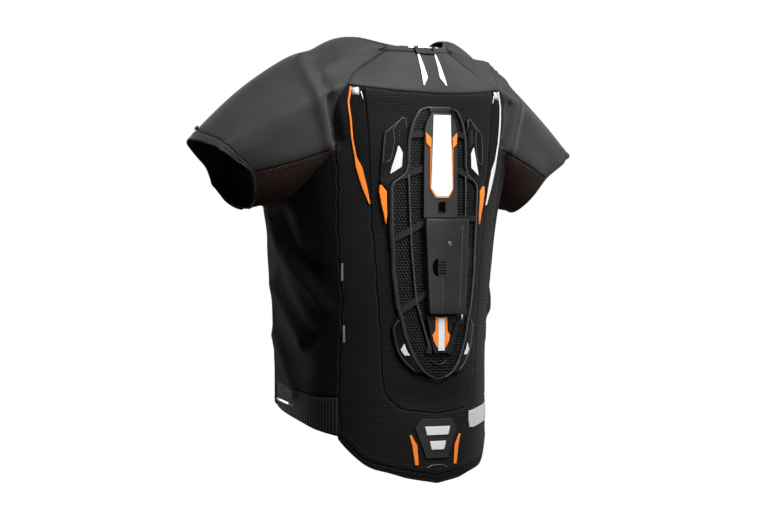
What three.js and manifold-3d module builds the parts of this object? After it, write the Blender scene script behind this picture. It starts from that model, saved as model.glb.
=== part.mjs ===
// Airbag vest: a short-sleeved stretch shell, worn form, with a hard back protector and its control module.
// Millimetres. The wearer faces -Y, the wearer's left is +X and +Z is up.
// The origin is the centre of the neck ring, at the height of its back rim.

import * as THREE from 'three';
import Module from 'manifold-3d';
import { mergeVertices } from 'three/addons/utils/BufferGeometryUtils.js';

const wasm = await Module();
wasm.setup();

// Driving sizes of the shell
const BACK_LENGTH = 656; // back neck rim to back hem
const CHEST_HALF_WIDTH = 237; // widest level, at the armholes
const BACK_DEPTH = 138; // from the widest line to the middle of the back
const FRONT_DEPTH = 128; // from the widest line to the middle of the front
const WIDEST_LINE = -40; // its place along Y
const NECK_HALF_WIDTH = 78;
const NECK_BACK = 65; // neck ring centre to its back rim
const SLEEVE_REACH = 350; // middle of the body to the tip of the cuff
const CLOTH = 2; // wall of every cloth panel
const SEAM_GAP = 0.2; // each panel stops this far from the middle of a seam
const SEAT_GAP = 0.5; // between a piece and what it is bonded or sewn on
const HEM_BAND_WIDTH = 12;
const ZIP_HALF_WIDTH = 8;

// Driving sizes of the protector
const PROTECTOR_LENGTH = 414; // arch to lower tip
const PROTECTOR_TOP = -94.5; // height of the arch
const PROTECTOR_HALF_WIDTH = 83;
const FRAME_THICKNESS = 3; // of the frame over the honeycomb plate
const RIM_HEIGHT = 6; // rim of the frame above the cloth
const CROWN_HEIGHT = 8; // middle of the frame above the cloth
const RIM_WIDTH = 5;
const RIB_WIDTH = 9;
const RIDGE_WIDTH = 3.4; // of the thin ridges between the ribs
const SPINE_HEIGHT = 4; // spine above the frame
const SPINE_SPAN = 0.48 * PROTECTOR_HALF_WIDTH; // half width over which its top falls away
const MODULE_HEIGHT = 7; // control module above the spine
const MODULE_SPAN = 0.43 * PROTECTOR_HALF_WIDTH;
const MODULE_OFFSET = 0.12 * PROTECTOR_HALF_WIDTH; // middle of the module, towards the wearer's right
const PAD_HEIGHT = 6; // wing pads above the cloth
const PAD_FALL = 2.4; // from a wing pad's inner edge to its outer edge
const PAD_SPAN = 0.35 * PROTECTOR_HALF_WIDTH;
const LABEL_THICKNESS = 0.9; // bonded plastic inserts and printed labels
const BUTTON_RADIUS = 4;
const BUTTON_HEIGHT = 4.5;

const finish = (colour, roughness, metalness = 0) =>
  new THREE.MeshStandardMaterial({ color: colour, roughness, metalness });
const stretchCloth = () => finish(0x2b2b2d, 0.8);
const ribbedCloth = () => finish(0x1c1c1e, 0.85);
const meshCloth = () => finish(0x151314, 0.9);
const shellPlastic = () => finish(0x202224, 0.5);
const orangePlastic = () => finish(0xf07a1e, 0.45);
const whitePlastic = () => finish(0xf2f2f0, 0.4);
const silverFilm = () => finish(0xc9ccd0, 0.3, 0.4);

const garment = new THREE.Group();
const addPiece = (name, geometry, material) => {
  const mesh = new THREE.Mesh(geometry, material);
  mesh.name = name;
  garment.add(mesh);
};

// A smooth curve through the rows of a table. Each row starts with its key.
function through(rows) {
  const slope = (i, c) => {
    const a = rows[Math.max(i - 1, 0)];
    const b = rows[Math.min(i + 1, rows.length - 1)];
    return (b[c] - a[c]) / (b[0] - a[0]);
  };
  return (key) => {
    const k = Math.min(Math.max(key, rows[0][0]), rows[rows.length - 1][0]);
    let i = 0;
    while (i < rows.length - 2 && rows[i + 1][0] < k) i += 1;
    const span = rows[i + 1][0] - rows[i][0];
    const t = (k - rows[i][0]) / span;
    const t2 = t * t;
    const t3 = t2 * t;
    return rows[i].slice(1).map((value, n) => {
      const c = n + 1;
      return (2 * t3 - 3 * t2 + 1) * value + (t3 - 2 * t2 + t) * span * slope(i, c)
        + (3 * t2 - 2 * t3) * rows[i + 1][c] + (t3 - t2) * span * slope(i + 1, c);
    });
  };
}

// The same between rows that keep their corners.
function between(table) {
  const rows = [...table].sort((a, b) => a[0] - b[0]);
  return (key) => {
    let i = 0;
    while (i < rows.length - 2 && rows[i + 1][0] < key) i += 1;
    const t = THREE.MathUtils.clamp((key - rows[i][0]) / (rows[i + 1][0] - rows[i][0]), 0, 1);
    return rows[i].slice(1).map((value, n) => value + (rows[i + 1][n + 1] - value) * t);
  };
}

const mix = THREE.MathUtils.lerp;
const vec = (x, y, z) => new THREE.Vector3(x, y, z);

// Lengths in a table are shares of the named sizes, so each column has its own scale.
const scaled = (rows, scales) => rows.map((row) => row.map((value, c) => value * scales[c]));

// Cross-sections of the body, downwards
const bodySection = through(scaled([
  // depth below the rim, half width, front depth, front squareness
  [0.0, 0.86, 0.1, 2.4],
  [0.09, 0.935, 0.2, 2.4],
  [0.107, 0.95, 0.27, 2.4],
  [0.137, 0.975, 0.45, 2.4],
  [0.172, 0.995, 0.62, 2.4],
  [0.244, 0.955, 0.76, 2.45],
  [0.327, 0.885, 0.87, 2.5],
  [0.396, 0.831, 0.95, 2.55],
  [0.453, 0.8, 0.98, 2.6],
  [0.566, 0.755, 1.0, 2.8],
  [0.68, 0.712, 1.0, 3.0],
  [0.793, 0.706, 0.98, 3.0],
  [0.95, 0.712, 0.94, 3.0],
  [1.05, 0.72, 0.93, 3.0],
], [BACK_LENGTH, CHEST_HALF_WIDTH, FRONT_DEPTH, 1]));

const sectionAt = (z) => bodySection(-z);
const backY = (x, z) => {
  const [half] = sectionAt(z);
  return WIDEST_LINE + BACK_DEPTH * Math.sqrt(Math.max(1 - (x / half) ** 2, 0.01));
};
const backPoint = (x, z) => vec(x, backY(x, z), z);

// A point of the section at an angle from the middle of the back, 90 degrees being the side
function sectionPoint(angle, z) {
  const [half, front, square] = sectionAt(z);
  const [s, c] = [Math.sin(angle), Math.cos(angle)];
  if (c >= 0) return vec(half * s, WIDEST_LINE + BACK_DEPTH * c, z);
  return vec(half * s ** (2 / square), WIDEST_LINE - front * (-c) ** (2 / square), z);
}

// Hem, by share of the way from the middle of the back to the side seam, then on to the front
const backHem = through(scaled([
  [0, -1.0], [0.44, -0.985], [0.75, -0.966], [0.84, -0.955], [0.93, -0.934], [1, -0.908],
], [1, BACK_LENGTH]));
const sideHem = through(scaled([[0, -0.908], [0.3, -0.889], [0.7, -0.853], [1, -0.83]], [1, BACK_LENGTH]));
const FRONT_HEM = -0.828 * BACK_LENGTH;

// Seams of the back, by share of the way from the yoke seam to the hem
const CORNER = 0.179; // where the underarm seam meets the back
const VENT_TIP = 0.3;
const PANEL_FOOT = 0.837;
const backSeams = through(scaled([
  // share, side edge, outer edge of the vent, panel seam
  [0, 0.612, 0.591, 0.511],
  [0.045, 0.668, 0.612, 0.504],
  [0.09, 0.688, 0.601, 0.494],
  [0.135, 0.682, 0.584, 0.485],
  [CORNER, 0.673, 0.561, 0.479],
  [0.24, 0.652, 0.519, 0.473],
  [VENT_TIP, 0.641, 0.466, 0.466],
  [0.37, 0.631, 0.451, 0.451],
  [0.45, 0.616, 0.43, 0.43],
  [0.53, 0.601, 0.414, 0.414],
  [0.61, 0.584, 0.397, 0.397],
  [0.69, 0.58, 0.384, 0.384],
  [0.76, 0.582, 0.374, 0.374],
  [0.8, 0.584, 0.357, 0.357],
  [0.825, 0.586, 0.321, 0.321],
  [PANEL_FOOT, 0.587, 0.262, 0.262],
  [0.9, 0.59, 0.255, 0.255],
  [1, 0.593, 0.25, 0.25],
], [1, CHEST_HALF_WIDTH, CHEST_HALF_WIDTH, CHEST_HALF_WIDTH]));
const BACK_ROWS = [0, 0.045, 0.09, 0.135, CORNER, 0.24, VENT_TIP, 0.37, 0.45, 0.53, 0.61, 0.69, 0.76,
  0.8, 0.825, PANEL_FOOT, 0.89, 0.945, 1];
const cornerRow = BACK_ROWS.indexOf(CORNER);
const ventRow = BACK_ROWS.indexOf(VENT_TIP);
const footRow = BACK_ROWS.indexOf(PANEL_FOOT);

const YOKE_SEAM = -0.112 * BACK_LENGTH; // at the middle of the back
const YOKE_RISE = 0.018 * BACK_LENGTH; // of its two ends
const PANEL_COLUMNS = 5;
const VENT_COLUMNS = 1;
const SIDE_COLUMNS = 3;
const backColumns = PANEL_COLUMNS + VENT_COLUMNS + SIDE_COLUMNS;

function columnX(column, share) {
  const [edge, vent, panel] = backSeams(share);
  if (column <= PANEL_COLUMNS) return (panel * column) / PANEL_COLUMNS;
  if (column <= PANEL_COLUMNS + VENT_COLUMNS) {
    return mix(panel, vent, (column - PANEL_COLUMNS) / VENT_COLUMNS);
  }
  return mix(vent, edge, (column - PANEL_COLUMNS - VENT_COLUMNS) / SIDE_COLUMNS);
}
function backGrid(column, share) {
  const x = columnX(column, share);
  const c = x / backSeams(share)[0];
  return backPoint(x, mix(YOKE_SEAM + YOKE_RISE * c * c, backHem(c)[0], share));
}

// Raglan seams, as shares of the half width of the chest, upwards at the back and downwards at the front
const CHEST_3D = [1, CHEST_HALF_WIDTH, CHEST_HALF_WIDTH, CHEST_HALF_WIDTH];
const yokeCorner = backGrid(backColumns, 0);
const neckBackCorner = vec(0.6 * NECK_HALF_WIDTH, 0.74 * NECK_BACK, 0.013 * NECK_HALF_WIDTH);
const neckFrontCorner = vec(0.82 * NECK_HALF_WIDTH, -0.69 * NECK_BACK, -0.23 * NECK_HALF_WIDTH);
const NECK_FRONT = vec(0, -1.15 * NECK_BACK, -1.08 * NECK_BACK);
const backRaglan = through([
  [0, ...yokeCorner.toArray()],
  ...scaled([[0.28, 0.502, 0.203, -0.177], [0.78, 0.291, 0.194, -0.055]], CHEST_3D),
  [1, ...neckBackCorner.toArray()],
]);
const ARMHOLE_FRONT = -0.328 * BACK_LENGTH; // height of the front end of the underarm
const FRONT_SEAM_TOP = 128; // degrees round the section from the middle of the back
const FRONT_SEAM_WAIST = 118;
const armholeFront = sectionPoint(THREE.MathUtils.degToRad(FRONT_SEAM_TOP), ARMHOLE_FRONT);
const frontRaglan = through([
  [0, ...neckFrontCorner.toArray()],
  ...scaled([
    [0.2, 0.4, -0.304, -0.211],
    [0.45, 0.54, -0.414, -0.38],
    [0.7, 0.641, -0.481, -0.57],
    [0.88, 0.7, -0.496, -0.76],
  ], CHEST_3D),
  [1, ...armholeFront.toArray()],
]);

// Yoke between the yoke seam and the neck rim
const YOKE_ROWS = [0, 0.28, 0.6, 0.88, 1];
const yokeMiddle = through(scaled([[0, 0.413, -0.31], [0.5, 0.352, -0.15], [1, 0.274, 0]],
  [1, CHEST_HALF_WIDTH, CHEST_HALF_WIDTH]));
function yokePoint(c, t) {
  const x = c * yokeCorner.x;
  const low = backPoint(x, YOKE_SEAM + YOKE_RISE * c * c);
  const high = vec(neckBackCorner.x * c, mix(NECK_BACK, neckBackCorner.y, c * c), neckBackCorner.z * c * c);
  const side = vec(...backRaglan(t)).sub(yokeCorner.clone().lerp(neckBackCorner, t));
  side.x *= Math.sign(c);
  const [midY, midZ] = yokeMiddle(t);
  const [footY, footZ] = yokeMiddle(0);
  const [rimY, rimZ] = yokeMiddle(1);
  const middle = vec(0, midY - mix(footY, rimY, t), midZ - mix(footZ, rimZ, t));
  return low.lerp(high, t).addScaledVector(side, c * c).addScaledVector(middle, 1 - c * c);
}
const yokeGrid = (column, t) => yokePoint(columnX(column, 0) / yokeCorner.x, t);

// Side panel from the underarm seam to the hem
const SIDE_STEPS = 7;
const underarm = through(scaled([
  [0, -0.2415], [0.15, -0.293], [0.3, -0.338], [0.5, -0.37], [0.65, -0.374], [0.82, -0.358], [1, -0.328],
], [1, BACK_LENGTH]));
const frontSeamAngle = through([
  [0, FRONT_SEAM_TOP], [0.25, mix(FRONT_SEAM_TOP, FRONT_SEAM_WAIST, 0.7)],
  [0.5, FRONT_SEAM_WAIST], [1, FRONT_SEAM_WAIST],
]);
const sideRows = BACK_ROWS.slice(cornerRow).map((v) => (v - CORNER) / (1 - CORNER));
function sideSurface(w, r) {
  const edge = backGrid(backColumns, mix(CORNER, 1, r));
  const backAngle = Math.asin(edge.x / sectionAt(edge.z)[0]);
  const frontAngle = THREE.MathUtils.degToRad(frontSeamAngle(r)[0]);
  return sectionPoint(mix(backAngle, frontAngle, w), mix(underarm(w)[0], sideHem(w)[0], r));
}
function sideGrid(step, row) {
  if (step === 0) return backGrid(backColumns, BACK_ROWS[cornerRow + row]);
  return sideSurface(step / SIDE_STEPS, sideRows[row]);
}

// Front panel from the neck to the hem, between the raglan and front seams and the zip
const FRONT_STEPS = 3;
const FRONT_BINDING_ROW = 0.1;
const frontRaglanRows = [0, FRONT_BINDING_ROW, 0.3, 0.55, 0.8];
const frontRowCount = frontRaglanRows.length + sideRows.length;
function frontGrid(step, row) {
  const k = row - frontRaglanRows.length;
  const outer = k < 0 ? vec(...frontRaglan(frontRaglanRows[row])) : sideGrid(SIDE_STEPS, k);
  const middleZ = k < 0 ? mix(NECK_FRONT.z, armholeFront.z, frontRaglanRows[row])
    : mix(armholeFront.z, FRONT_HEM, sideRows[k]);
  const [half, depth, square] = sectionAt(middleZ);
  const [zipX, middleY] = [ZIP_HALF_WIDTH, row === 0 ? NECK_FRONT.y : WIDEST_LINE - depth];
  const x = step > FRONT_STEPS ? 0 : mix(outer.x, zipX, step / FRONT_STEPS);
  const q = x / outer.x;
  const reach = Math.min(outer.x / half, 0.92);
  const arc = (s) => (1 - (s * reach) ** square) ** (1 / square);
  const swell = (arc(q) - arc(1)) / (arc(0) - arc(1));
  return vec(x, mix(outer.y, middleY, swell), mix(outer.z, middleZ, 1 - q * q));
}

// Sleeve: a loop around the armhole and the side of the neck is carried out to the cuff.
// Keys are degrees round the cuff, 0 on top, 90 at the back, 180 below.
const REACH_3D = [1, SLEEVE_REACH, SLEEVE_REACH, SLEEVE_REACH];
const closedLoop = (rows) => {
  const shifted = (by) => rows.map((row) => [row[0] + by, ...row.slice(1)]);
  return through([...shifted(-360), ...rows, ...shifted(360)]);
};
const cuffRing = closedLoop(scaled([
  [0, 1, -0.143, -0.417],
  [40, 0.966, 0, -0.454],
  [70, 0.923, 0.026, -0.483],
  [90, 0.886, 0.034, -0.509],
  [115, 0.809, 0.033, -0.564],
  [145, 0.766, -0.009, -0.646],
  [170, 0.734, -0.074, -0.703],
  [190, 0.737, -0.129, -0.714],
  [215, 0.757, -0.206, -0.694],
  [240, 0.789, -0.286, -0.62],
  [265, 0.806, -0.326, -0.531],
  [290, 0.857, -0.317, -0.491],
  [320, 0.943, -0.257, -0.44],
], REACH_3D));
const leave = closedLoop(scaled([
  // direction and pull of the cloth as it leaves the body
  [0, 0.743, -0.286, 0.03],
  [30, 0.714, -0.171, 0],
  [62, 0.486, 0, -0.114],
  [85, 0.429, 0.029, -0.086],
  [115, 0.371, -0.029, -0.143],
  [150, 0.2, 0, -0.029],
  [185, 0.171, 0, 0.029],
  [245, 0.286, -0.057, 0],
  [290, 0.429, -0.086, -0.057],
  [335, 0.657, -0.314, -0.057],
], REACH_3D));
const arrive = closedLoop(scaled([
  // the same as it reaches the cuff
  [0, 0.543, 0, -0.571],
  [30, 0.486, -0.029, -0.543],
  [62, 0.371, -0.086, -0.371],
  [85, 0.314, -0.143, -0.229],
  [115, 0.286, -0.171, -0.071],
  [150, 0.2, -0.114, -0.029],
  [185, 0.171, 0, -0.029],
  [245, 0.257, 0.086, -0.057],
  [290, 0.343, 0, -0.286],
  [335, 0.486, 0.057, -0.543],
], REACH_3D));
const SLEEVE_ROWS = [0, 0.04, 0.18, 0.36, 0.54, 0.72, 0.955, 1];
const CUFF_ROW = SLEEVE_ROWS.length - 2;

const neckSide = through([
  [0, ...neckFrontCorner.toArray()],
  ...scaled([[0.33, 0.97, -0.3, 0.1], [0.6, 1, 0, 0.17], [0.82, 0.89, 0.28, 0.115]],
    [1, NECK_HALF_WIDTH, NECK_HALF_WIDTH, NECK_HALF_WIDTH]),
  [1, ...neckBackCorner.toArray()],
]);
const NECK_STEPS = 5;
const armLoop = [];
const loopPoint = (part, point, degrees) => armLoop.push({ part, point, degrees });
for (let i = 0; i < NECK_STEPS; i += 1) {
  const t = i / NECK_STEPS;
  loopPoint('neck', vec(...neckSide(t)), mix(-25, 30, t));
}
for (let i = YOKE_ROWS.length - 1; i > 0; i -= 1) {
  loopPoint('yoke', yokeGrid(backColumns, YOKE_ROWS[i]), mix(62, 30, YOKE_ROWS[i]));
}
for (let i = 0; i < cornerRow; i += 1) {
  loopPoint('back', backGrid(backColumns, BACK_ROWS[i]), mix(62, 115, BACK_ROWS[i] / CORNER));
}
for (let i = 0; i < SIDE_STEPS; i += 1) {
  loopPoint('underarm', sideGrid(i, 0), mix(115, 245, i / SIDE_STEPS));
}
for (let i = frontRaglanRows.length; i > 0; i -= 1) {
  const t = i === frontRaglanRows.length ? 1 : frontRaglanRows[i];
  loopPoint('front', frontGrid(0, i), mix(335, 245, t));
}
function sleeveGrid(i, t) {
  const { point, degrees } = armLoop[(i + armLoop.length) % armLoop.length];
  const [t2, t3] = [t * t, t * t * t];
  return point.clone().multiplyScalar(2 * t3 - 3 * t2 + 1)
    .addScaledVector(vec(...leave(degrees)), t3 - 2 * t2 + t)
    .addScaledVector(vec(...cuffRing(degrees)), 3 * t2 - 2 * t3)
    .addScaledVector(vec(...arrive(degrees)), t3 - t2);
}

// Soft folds: a dent or swell along a line, fading over its width. Lengths are shares of the back length.
const folds = scaled([
  // line start x, y, z, line end x, y, z, width, height of the swell
  [0.213, 0.04, -0.02, 0.27, 0.05, -0.21, 0.022, -0.0105],
  [0.235, 0.03, -0.03, 0.295, 0.045, -0.2, 0.03, 0.008],
  [0.3, -0.17, -0.41, 0.235, 0.02, -0.6, 0.024, -0.008],
  [0.3, -0.12, -0.45, 0.24, 0.0, -0.66, 0.024, 0.007],
  [0.27, -0.15, -0.6, 0.245, -0.04, -0.74, 0.026, -0.007],
  [0.29, 0.01, -0.32, 0.26, 0.01, -0.5, 0.026, -0.006],
], Array(8).fill(BACK_LENGTH));
function foldLift(point) {
  const place = vec(Math.abs(point.x), point.y, point.z);
  return folds.reduce((sum, [ax, ay, az, bx, by, bz, width, height]) => {
    const line = new THREE.Line3(vec(ax, ay, az), vec(bx, by, bz));
    const distance = line.closestPointToPoint(place, true, vec(0, 0, 0)).distanceTo(place);
    return sum + height * Math.exp(-((distance / width) ** 2));
  }, 0);
}

// The cloth is one welded surface. Each panel is the part of it with one name.
const points = [];
const pointNumbers = new Map();
const quads = [];
function weld(point) {
  const key = point.toArray().map((value) => Math.round(value * 50)).join();
  if (!pointNumbers.has(key)) {
    pointNumbers.set(key, points.length);
    points.push(point.clone());
  }
  return pointNumbers.get(key);
}
const LEFT = 'left';
const RIGHT = 'right';
const sideName = (name, side) => name.replace('SIDE', side);

// Adds a grid of the wearer's left half and its mirror image. name(i, j) is the panel of a cell.
function addHalf(columns, rows, at, name, centre) {
  const cells = [];
  let facing = 0;
  for (let i = 0; i < columns; i += 1) {
    for (let j = 0; j < rows; j += 1) {
      const corners = [at(i, j), at(i + 1, j), at(i + 1, j + 1), at(i, j + 1)];
      const normal = corners[2].clone().sub(corners[0]).cross(corners[3].clone().sub(corners[1]));
      facing += normal.dot(corners[0].clone().sub(centre(corners[0])));
      cells.push([corners, name(i, j)]);
    }
  }
  for (const [corners, panel] of cells) {
    const ordered = facing > 0 ? corners : [...corners].reverse();
    const mirrored = [0, 3, 2, 1].map((n) => vec(-ordered[n].x, ordered[n].y, ordered[n].z));
    for (const [ring, side] of [[ordered, LEFT], [mirrored, RIGHT]]) {
      const ids = ring.map(weld).filter((id, n, all) => id !== all[(n + 1) % all.length]);
      if (ids.length > 2) quads.push({ ids, panel: sideName(panel, side) });
    }
  }
}
const bodyAxis = (p) => vec(0, WIDEST_LINE, p.z);

addHalf(backColumns, YOKE_ROWS.length - 1, (i, j) => yokeGrid(i, YOKE_ROWS[j]),
  (i, j) => (j === YOKE_ROWS.length - 2 ? 'neck_binding' : 'shoulder_yoke'),
  () => vec(0, 0, -CHEST_HALF_WIDTH));
addHalf(backColumns, BACK_ROWS.length - 1, (i, j) => backGrid(i, BACK_ROWS[j]), (i, j) => {
  if (i < PANEL_COLUMNS && j < footRow) return 'back_center_panel';
  return i === PANEL_COLUMNS && j < ventRow ? 'side_vent_SIDE' : 'back_surround_panel';
}, bodyAxis);
addHalf(SIDE_STEPS, sideRows.length - 1, sideGrid, (i, j) => {
  const knit = i < SIDE_STEPS - 1 && j > sideRows.length - 4;
  return knit ? 'side_knit_SIDE' : 'side_panel_SIDE';
}, bodyAxis);
addHalf(FRONT_STEPS + 1, frontRowCount - 1, frontGrid, (i, j) => {
  if (j === 0) return 'neck_binding';
  return i === FRONT_STEPS ? 'front_zip' : 'front_panel_SIDE';
}, bodyAxis);
addHalf(armLoop.length, SLEEVE_ROWS.length - 1, (i, j) => sleeveGrid(i, SLEEVE_ROWS[j]), (i, j) => {
  const { part } = armLoop[i];
  const besideNeck = part === 'neck' || i === NECK_STEPS || i === armLoop.length - 1;
  if (j === 0 && besideNeck) return 'neck_binding';
  if (j === CUFF_ROW) return 'cuff_SIDE';
  return part === 'underarm' ? 'sleeve_gusset_SIDE' : 'sleeve_SIDE';
}, (p) => vec(SLEEVE_REACH * 0.5, WIDEST_LINE, -SLEEVE_REACH * 0.4).lerp(p, 0.2));
const bandDrop = (i) => HEM_BAND_WIDTH * mix(1, 0.4, (i / backColumns) ** 3);
addHalf(backColumns, 1, (i, j) => backGrid(i, 1).add(vec(0, 0, -j * bandDrop(i))),
  () => 'hem_band', bodyAxis);

const normals = points.map(() => vec(0, 0, 0));
for (const { ids } of quads) {
  const [a, b, c, d] = ids.map((id) => points[id]);
  const normal = c.clone().sub(a).cross((d ?? a).clone().sub(b));
  ids.forEach((id) => normals[id].add(normal));
}
normals.forEach((normal) => normal.normalize());
points.forEach((point, n) => point.addScaledVector(normals[n], foldLift(point)));

// One panel as a closed solid: the cloth's outer face, its inner face and walls along its edges
function panelGeometry(panel) {
  const faces = quads.filter((quad) => quad.panel === panel);
  const edges = new Map();
  for (const { ids } of faces) {
    ids.forEach((id, n) => {
      const next = ids[(n + 1) % ids.length];
      if (!edges.delete(`${next},${id}`)) edges.set(`${id},${next}`, [id, next]);
    });
  }
  const inward = new Map();
  for (const [a, b] of edges.values()) {
    for (const id of [a, b]) {
      const across = normals[id].clone().cross(points[b].clone().sub(points[a])).normalize();
      inward.set(id, [...(inward.get(id) ?? []), across]);
    }
  }
  const vertices = [];
  const numbers = new Map();
  const number = (id) => {
    if (!numbers.has(id)) {
      const place = points[id].clone();
      const [m, n = m] = inward.get(id) ?? [];
      if (m) place.addScaledVector(m.clone().add(n), SEAM_GAP / Math.max(1 + m.dot(n), 0.06));
      numbers.set(id, vertices.length / 3);
      vertices.push(...place.toArray(), ...place.addScaledVector(normals[id], -CLOTH).toArray());
    }
    return numbers.get(id);
  };
  const index = [];
  for (const { ids } of faces) {
    const outer = ids.map(number);
    for (let n = 1; n < outer.length - 1; n += 1) {
      index.push(outer[0], outer[n], outer[n + 1], outer[0] + 1, outer[n + 1] + 1, outer[n] + 1);
    }
  }
  for (const [a, b] of edges.values()) {
    const [p, q] = [number(a), number(b)];
    if (a < b) index.push(q, p, p + 1, q, p + 1, q + 1);
    else index.push(q, p, q + 1, p, p + 1, q + 1);
  }
  return solidOf(vertices, index);
}
function solidOf(vertices, index) {
  const geometry = new THREE.BufferGeometry();
  geometry.setAttribute('position', new THREE.Float32BufferAttribute(vertices, 3));
  geometry.setIndex(index);
  return geometry;
}

const panelFinish = {
  shoulder_yoke: stretchCloth, back_center_panel: ribbedCloth, back_surround_panel: ribbedCloth,
  side_vent: meshCloth, side_panel: meshCloth, side_knit: meshCloth, front_panel: ribbedCloth,
  front_zip: shellPlastic, sleeve_gusset: meshCloth, sleeve: stretchCloth, cuff: stretchCloth,
  neck_binding: stretchCloth, hem_band: ribbedCloth,
};
for (const panel of new Set(quads.map((quad) => quad.panel))) {
  const kind = panel.replace(/_(left|right)$/, '');
  addPiece(panel, panelGeometry(panel), panelFinish[kind]());
}

// A raised piece that follows a surface. Rows hold a place down the surface and its two edges across it.
// base and top are heights above the surface; they may be functions of the place.
const ROW_STEP = 34;
const heightOf = (height, u, v) => (typeof height === 'function' ? height(u, v) : height);
function relief(surface, rows, base, top, columns = 2, rowStep = ROW_STEP) {
  const edges = between(rows);
  const stops = [rows[0][0]];
  for (let r = 1; r < rows.length; r += 1) {
    const parts = Math.max(Math.ceil(Math.abs(rows[r][0] - rows[r - 1][0]) / rowStep), 1);
    for (let n = 1; n <= parts; n += 1) stops.push(mix(rows[r - 1][0], rows[r][0], n / parts));
  }
  const vertices = [];
  for (const v of stops) {
    const [left, right] = edges(v);
    for (let c = 0; c <= columns; c += 1) {
      const u = mix(left, right, c / columns);
      const place = surface(u, v);
      for (const height of [heightOf(base, u, v), heightOf(top, u, v)]) {
        vertices.push(...place.point.clone().addScaledVector(place.normal, height).toArray());
      }
    }
  }
  const at = (c, r, layer) => 2 * (r * (columns + 1) + c) + layer;
  const index = [];
  const face = (a, b, c, d) => index.push(a, b, c, a, c, d);
  const last = stops.length - 1;
  for (let r = 0; r < last; r += 1) {
    for (let c = 0; c < columns; c += 1) {
      face(at(c, r, 1), at(c + 1, r, 1), at(c + 1, r + 1, 1), at(c, r + 1, 1));
      face(at(c, r, 0), at(c, r + 1, 0), at(c + 1, r + 1, 0), at(c + 1, r, 0));
    }
    face(at(0, r, 0), at(0, r, 1), at(0, r + 1, 1), at(0, r + 1, 0));
    face(at(columns, r, 1), at(columns, r, 0), at(columns, r + 1, 0), at(columns, r + 1, 1));
  }
  for (let c = 0; c < columns; c += 1) {
    face(at(c, 0, 0), at(c + 1, 0, 0), at(c + 1, 0, 1), at(c, 0, 1));
    face(at(c, last, 1), at(c + 1, last, 1), at(c + 1, last, 0), at(c, last, 0));
  }
  if (signedVolume(vertices, index) < 0) index.reverse();
  return solidOf(vertices, index);
}
function signedVolume(vertices, index) {
  let volume = 0;
  for (let n = 0; n < index.length; n += 3) {
    const [a, b, c] = [0, 1, 2].map((k) => vec(...vertices.slice(3 * index[n + k], 3 * index[n + k] + 3)));
    volume += a.dot(b.cross(c));
  }
  return volume;
}
const onBack = (x, z) => {
  const slope = (x * BACK_DEPTH ** 2) / (sectionAt(z)[0] ** 2 * (backY(x, z) - WIDEST_LINE));
  return { point: backPoint(x, z), normal: vec(slope, 1, 0).normalize() };
};
const mirrorRows = (rows) => rows.map(([v, a, b]) => [v, -b, -a]);
const bothSides = (name, rows, make) => {
  make(sideName(name, LEFT), rows);
  make(sideName(name, RIGHT), mirrorRows(rows));
};

// Protector: honeycomb plate on the cloth, and over it a frame whose windows show the plate
const downFrom = (rows, columns) => rows.map((row) => {
  const [share, ...rest] = row;
  return [PROTECTOR_TOP - share * PROTECTOR_LENGTH, ...rest.map((value, n) => value * columns[n])];
});
const halfOutline = [
  // share of the length, half width of the rim
  [0, 0.24], [0.006, 0.36], [0.013, 0.446], [0.033, 0.518], [0.054, 0.578], [0.086, 0.627],
  [0.117, 0.663], [0.161, 0.675], [0.216, 0.675], [0.245, 0.73], [0.279, 0.964], [0.298, 1.0],
  [0.38, 0.988], [0.455, 0.976], [0.525, 0.952], [0.603, 0.94], [0.658, 0.904], [0.733, 0.852],
  [0.784, 0.771], [0.832, 0.723], [0.876, 0.645], [0.917, 0.557], [0.95, 0.455], [0.974, 0.345],
  [0.991, 0.215], [1, 0.08],
];
const rimHalfWidth = between(downFrom(halfOutline, [PROTECTOR_HALF_WIDTH]));
const outlineRows = (inset) => downFrom(halfOutline, [PROTECTOR_HALF_WIDTH])
  .map(([z, half]) => [z, -Math.max(half - inset, 3), Math.max(half - inset, 3)]);
const frameTop = (x, z) => {
  const [half] = rimHalfWidth(z);
  const inside = Math.max(1 - (x / half) ** 2, 0);
  return RIM_HEIGHT + (CROWN_HEIGHT - RIM_HEIGHT) * inside * Math.min(half / SPINE_SPAN, 1);
};
const lift = (height, by) => (u, v) => heightOf(height, u, v) + by;
const frameBase = lift(frameTop, -FRAME_THICKNESS);
const plateTop = lift(frameBase, -SEAT_GAP);
const FRAME_COLUMNS = 10;
addPiece('honeycomb_plate', relief(onBack, outlineRows(RIM_WIDTH * 0.4), SEAT_GAP, plateTop, FRAME_COLUMNS),
  finish(0x0e0e0f, 0.6));

// Windows of the frame: the outline inside the rim, less the spine band and the ribs
const ribs = [
  // share down and across at one end, then at the other, width
  [0.106, 0.72, 0.098, 0.15, RIB_WIDTH],
  [0.27, 1.0, 0.212, 0.15, RIB_WIDTH],
  [0.499, 1.05, 0.406, 0.15, RIB_WIDTH],
  [0.767, 0.9, 0.664, 0.15, RIB_WIDTH],
  [0.106, -0.72, 0.09, -0.15, RIB_WIDTH],
  [0.27, -1.0, 0.212, -0.15, RIB_WIDTH],
  [0.408, -1.05, 0.408, -0.15, RIB_WIDTH],
  [0.25, 0.66, 0.3, 0.655, RIDGE_WIDTH],
  [0.3, 0.655, 0.53, 0.595, RIDGE_WIDTH],
  [0.53, 0.595, 0.715, 0.5, RIDGE_WIDTH],
  [0.715, 0.5, 0.905, 0.2, RIDGE_WIDTH],
  [0.25, -0.64, 0.408, -0.64, RIDGE_WIDTH],
  [0.52, -0.75, 0.72, -0.62, RIB_WIDTH],
  [0.72, -0.62, 0.905, -0.2, RIB_WIDTH],
  [0.8, -0.12, 0.905, -0.25, RIB_WIDTH],
  [0.82, 0.12, 0.905, 0.25, RIB_WIDTH],
];
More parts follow.
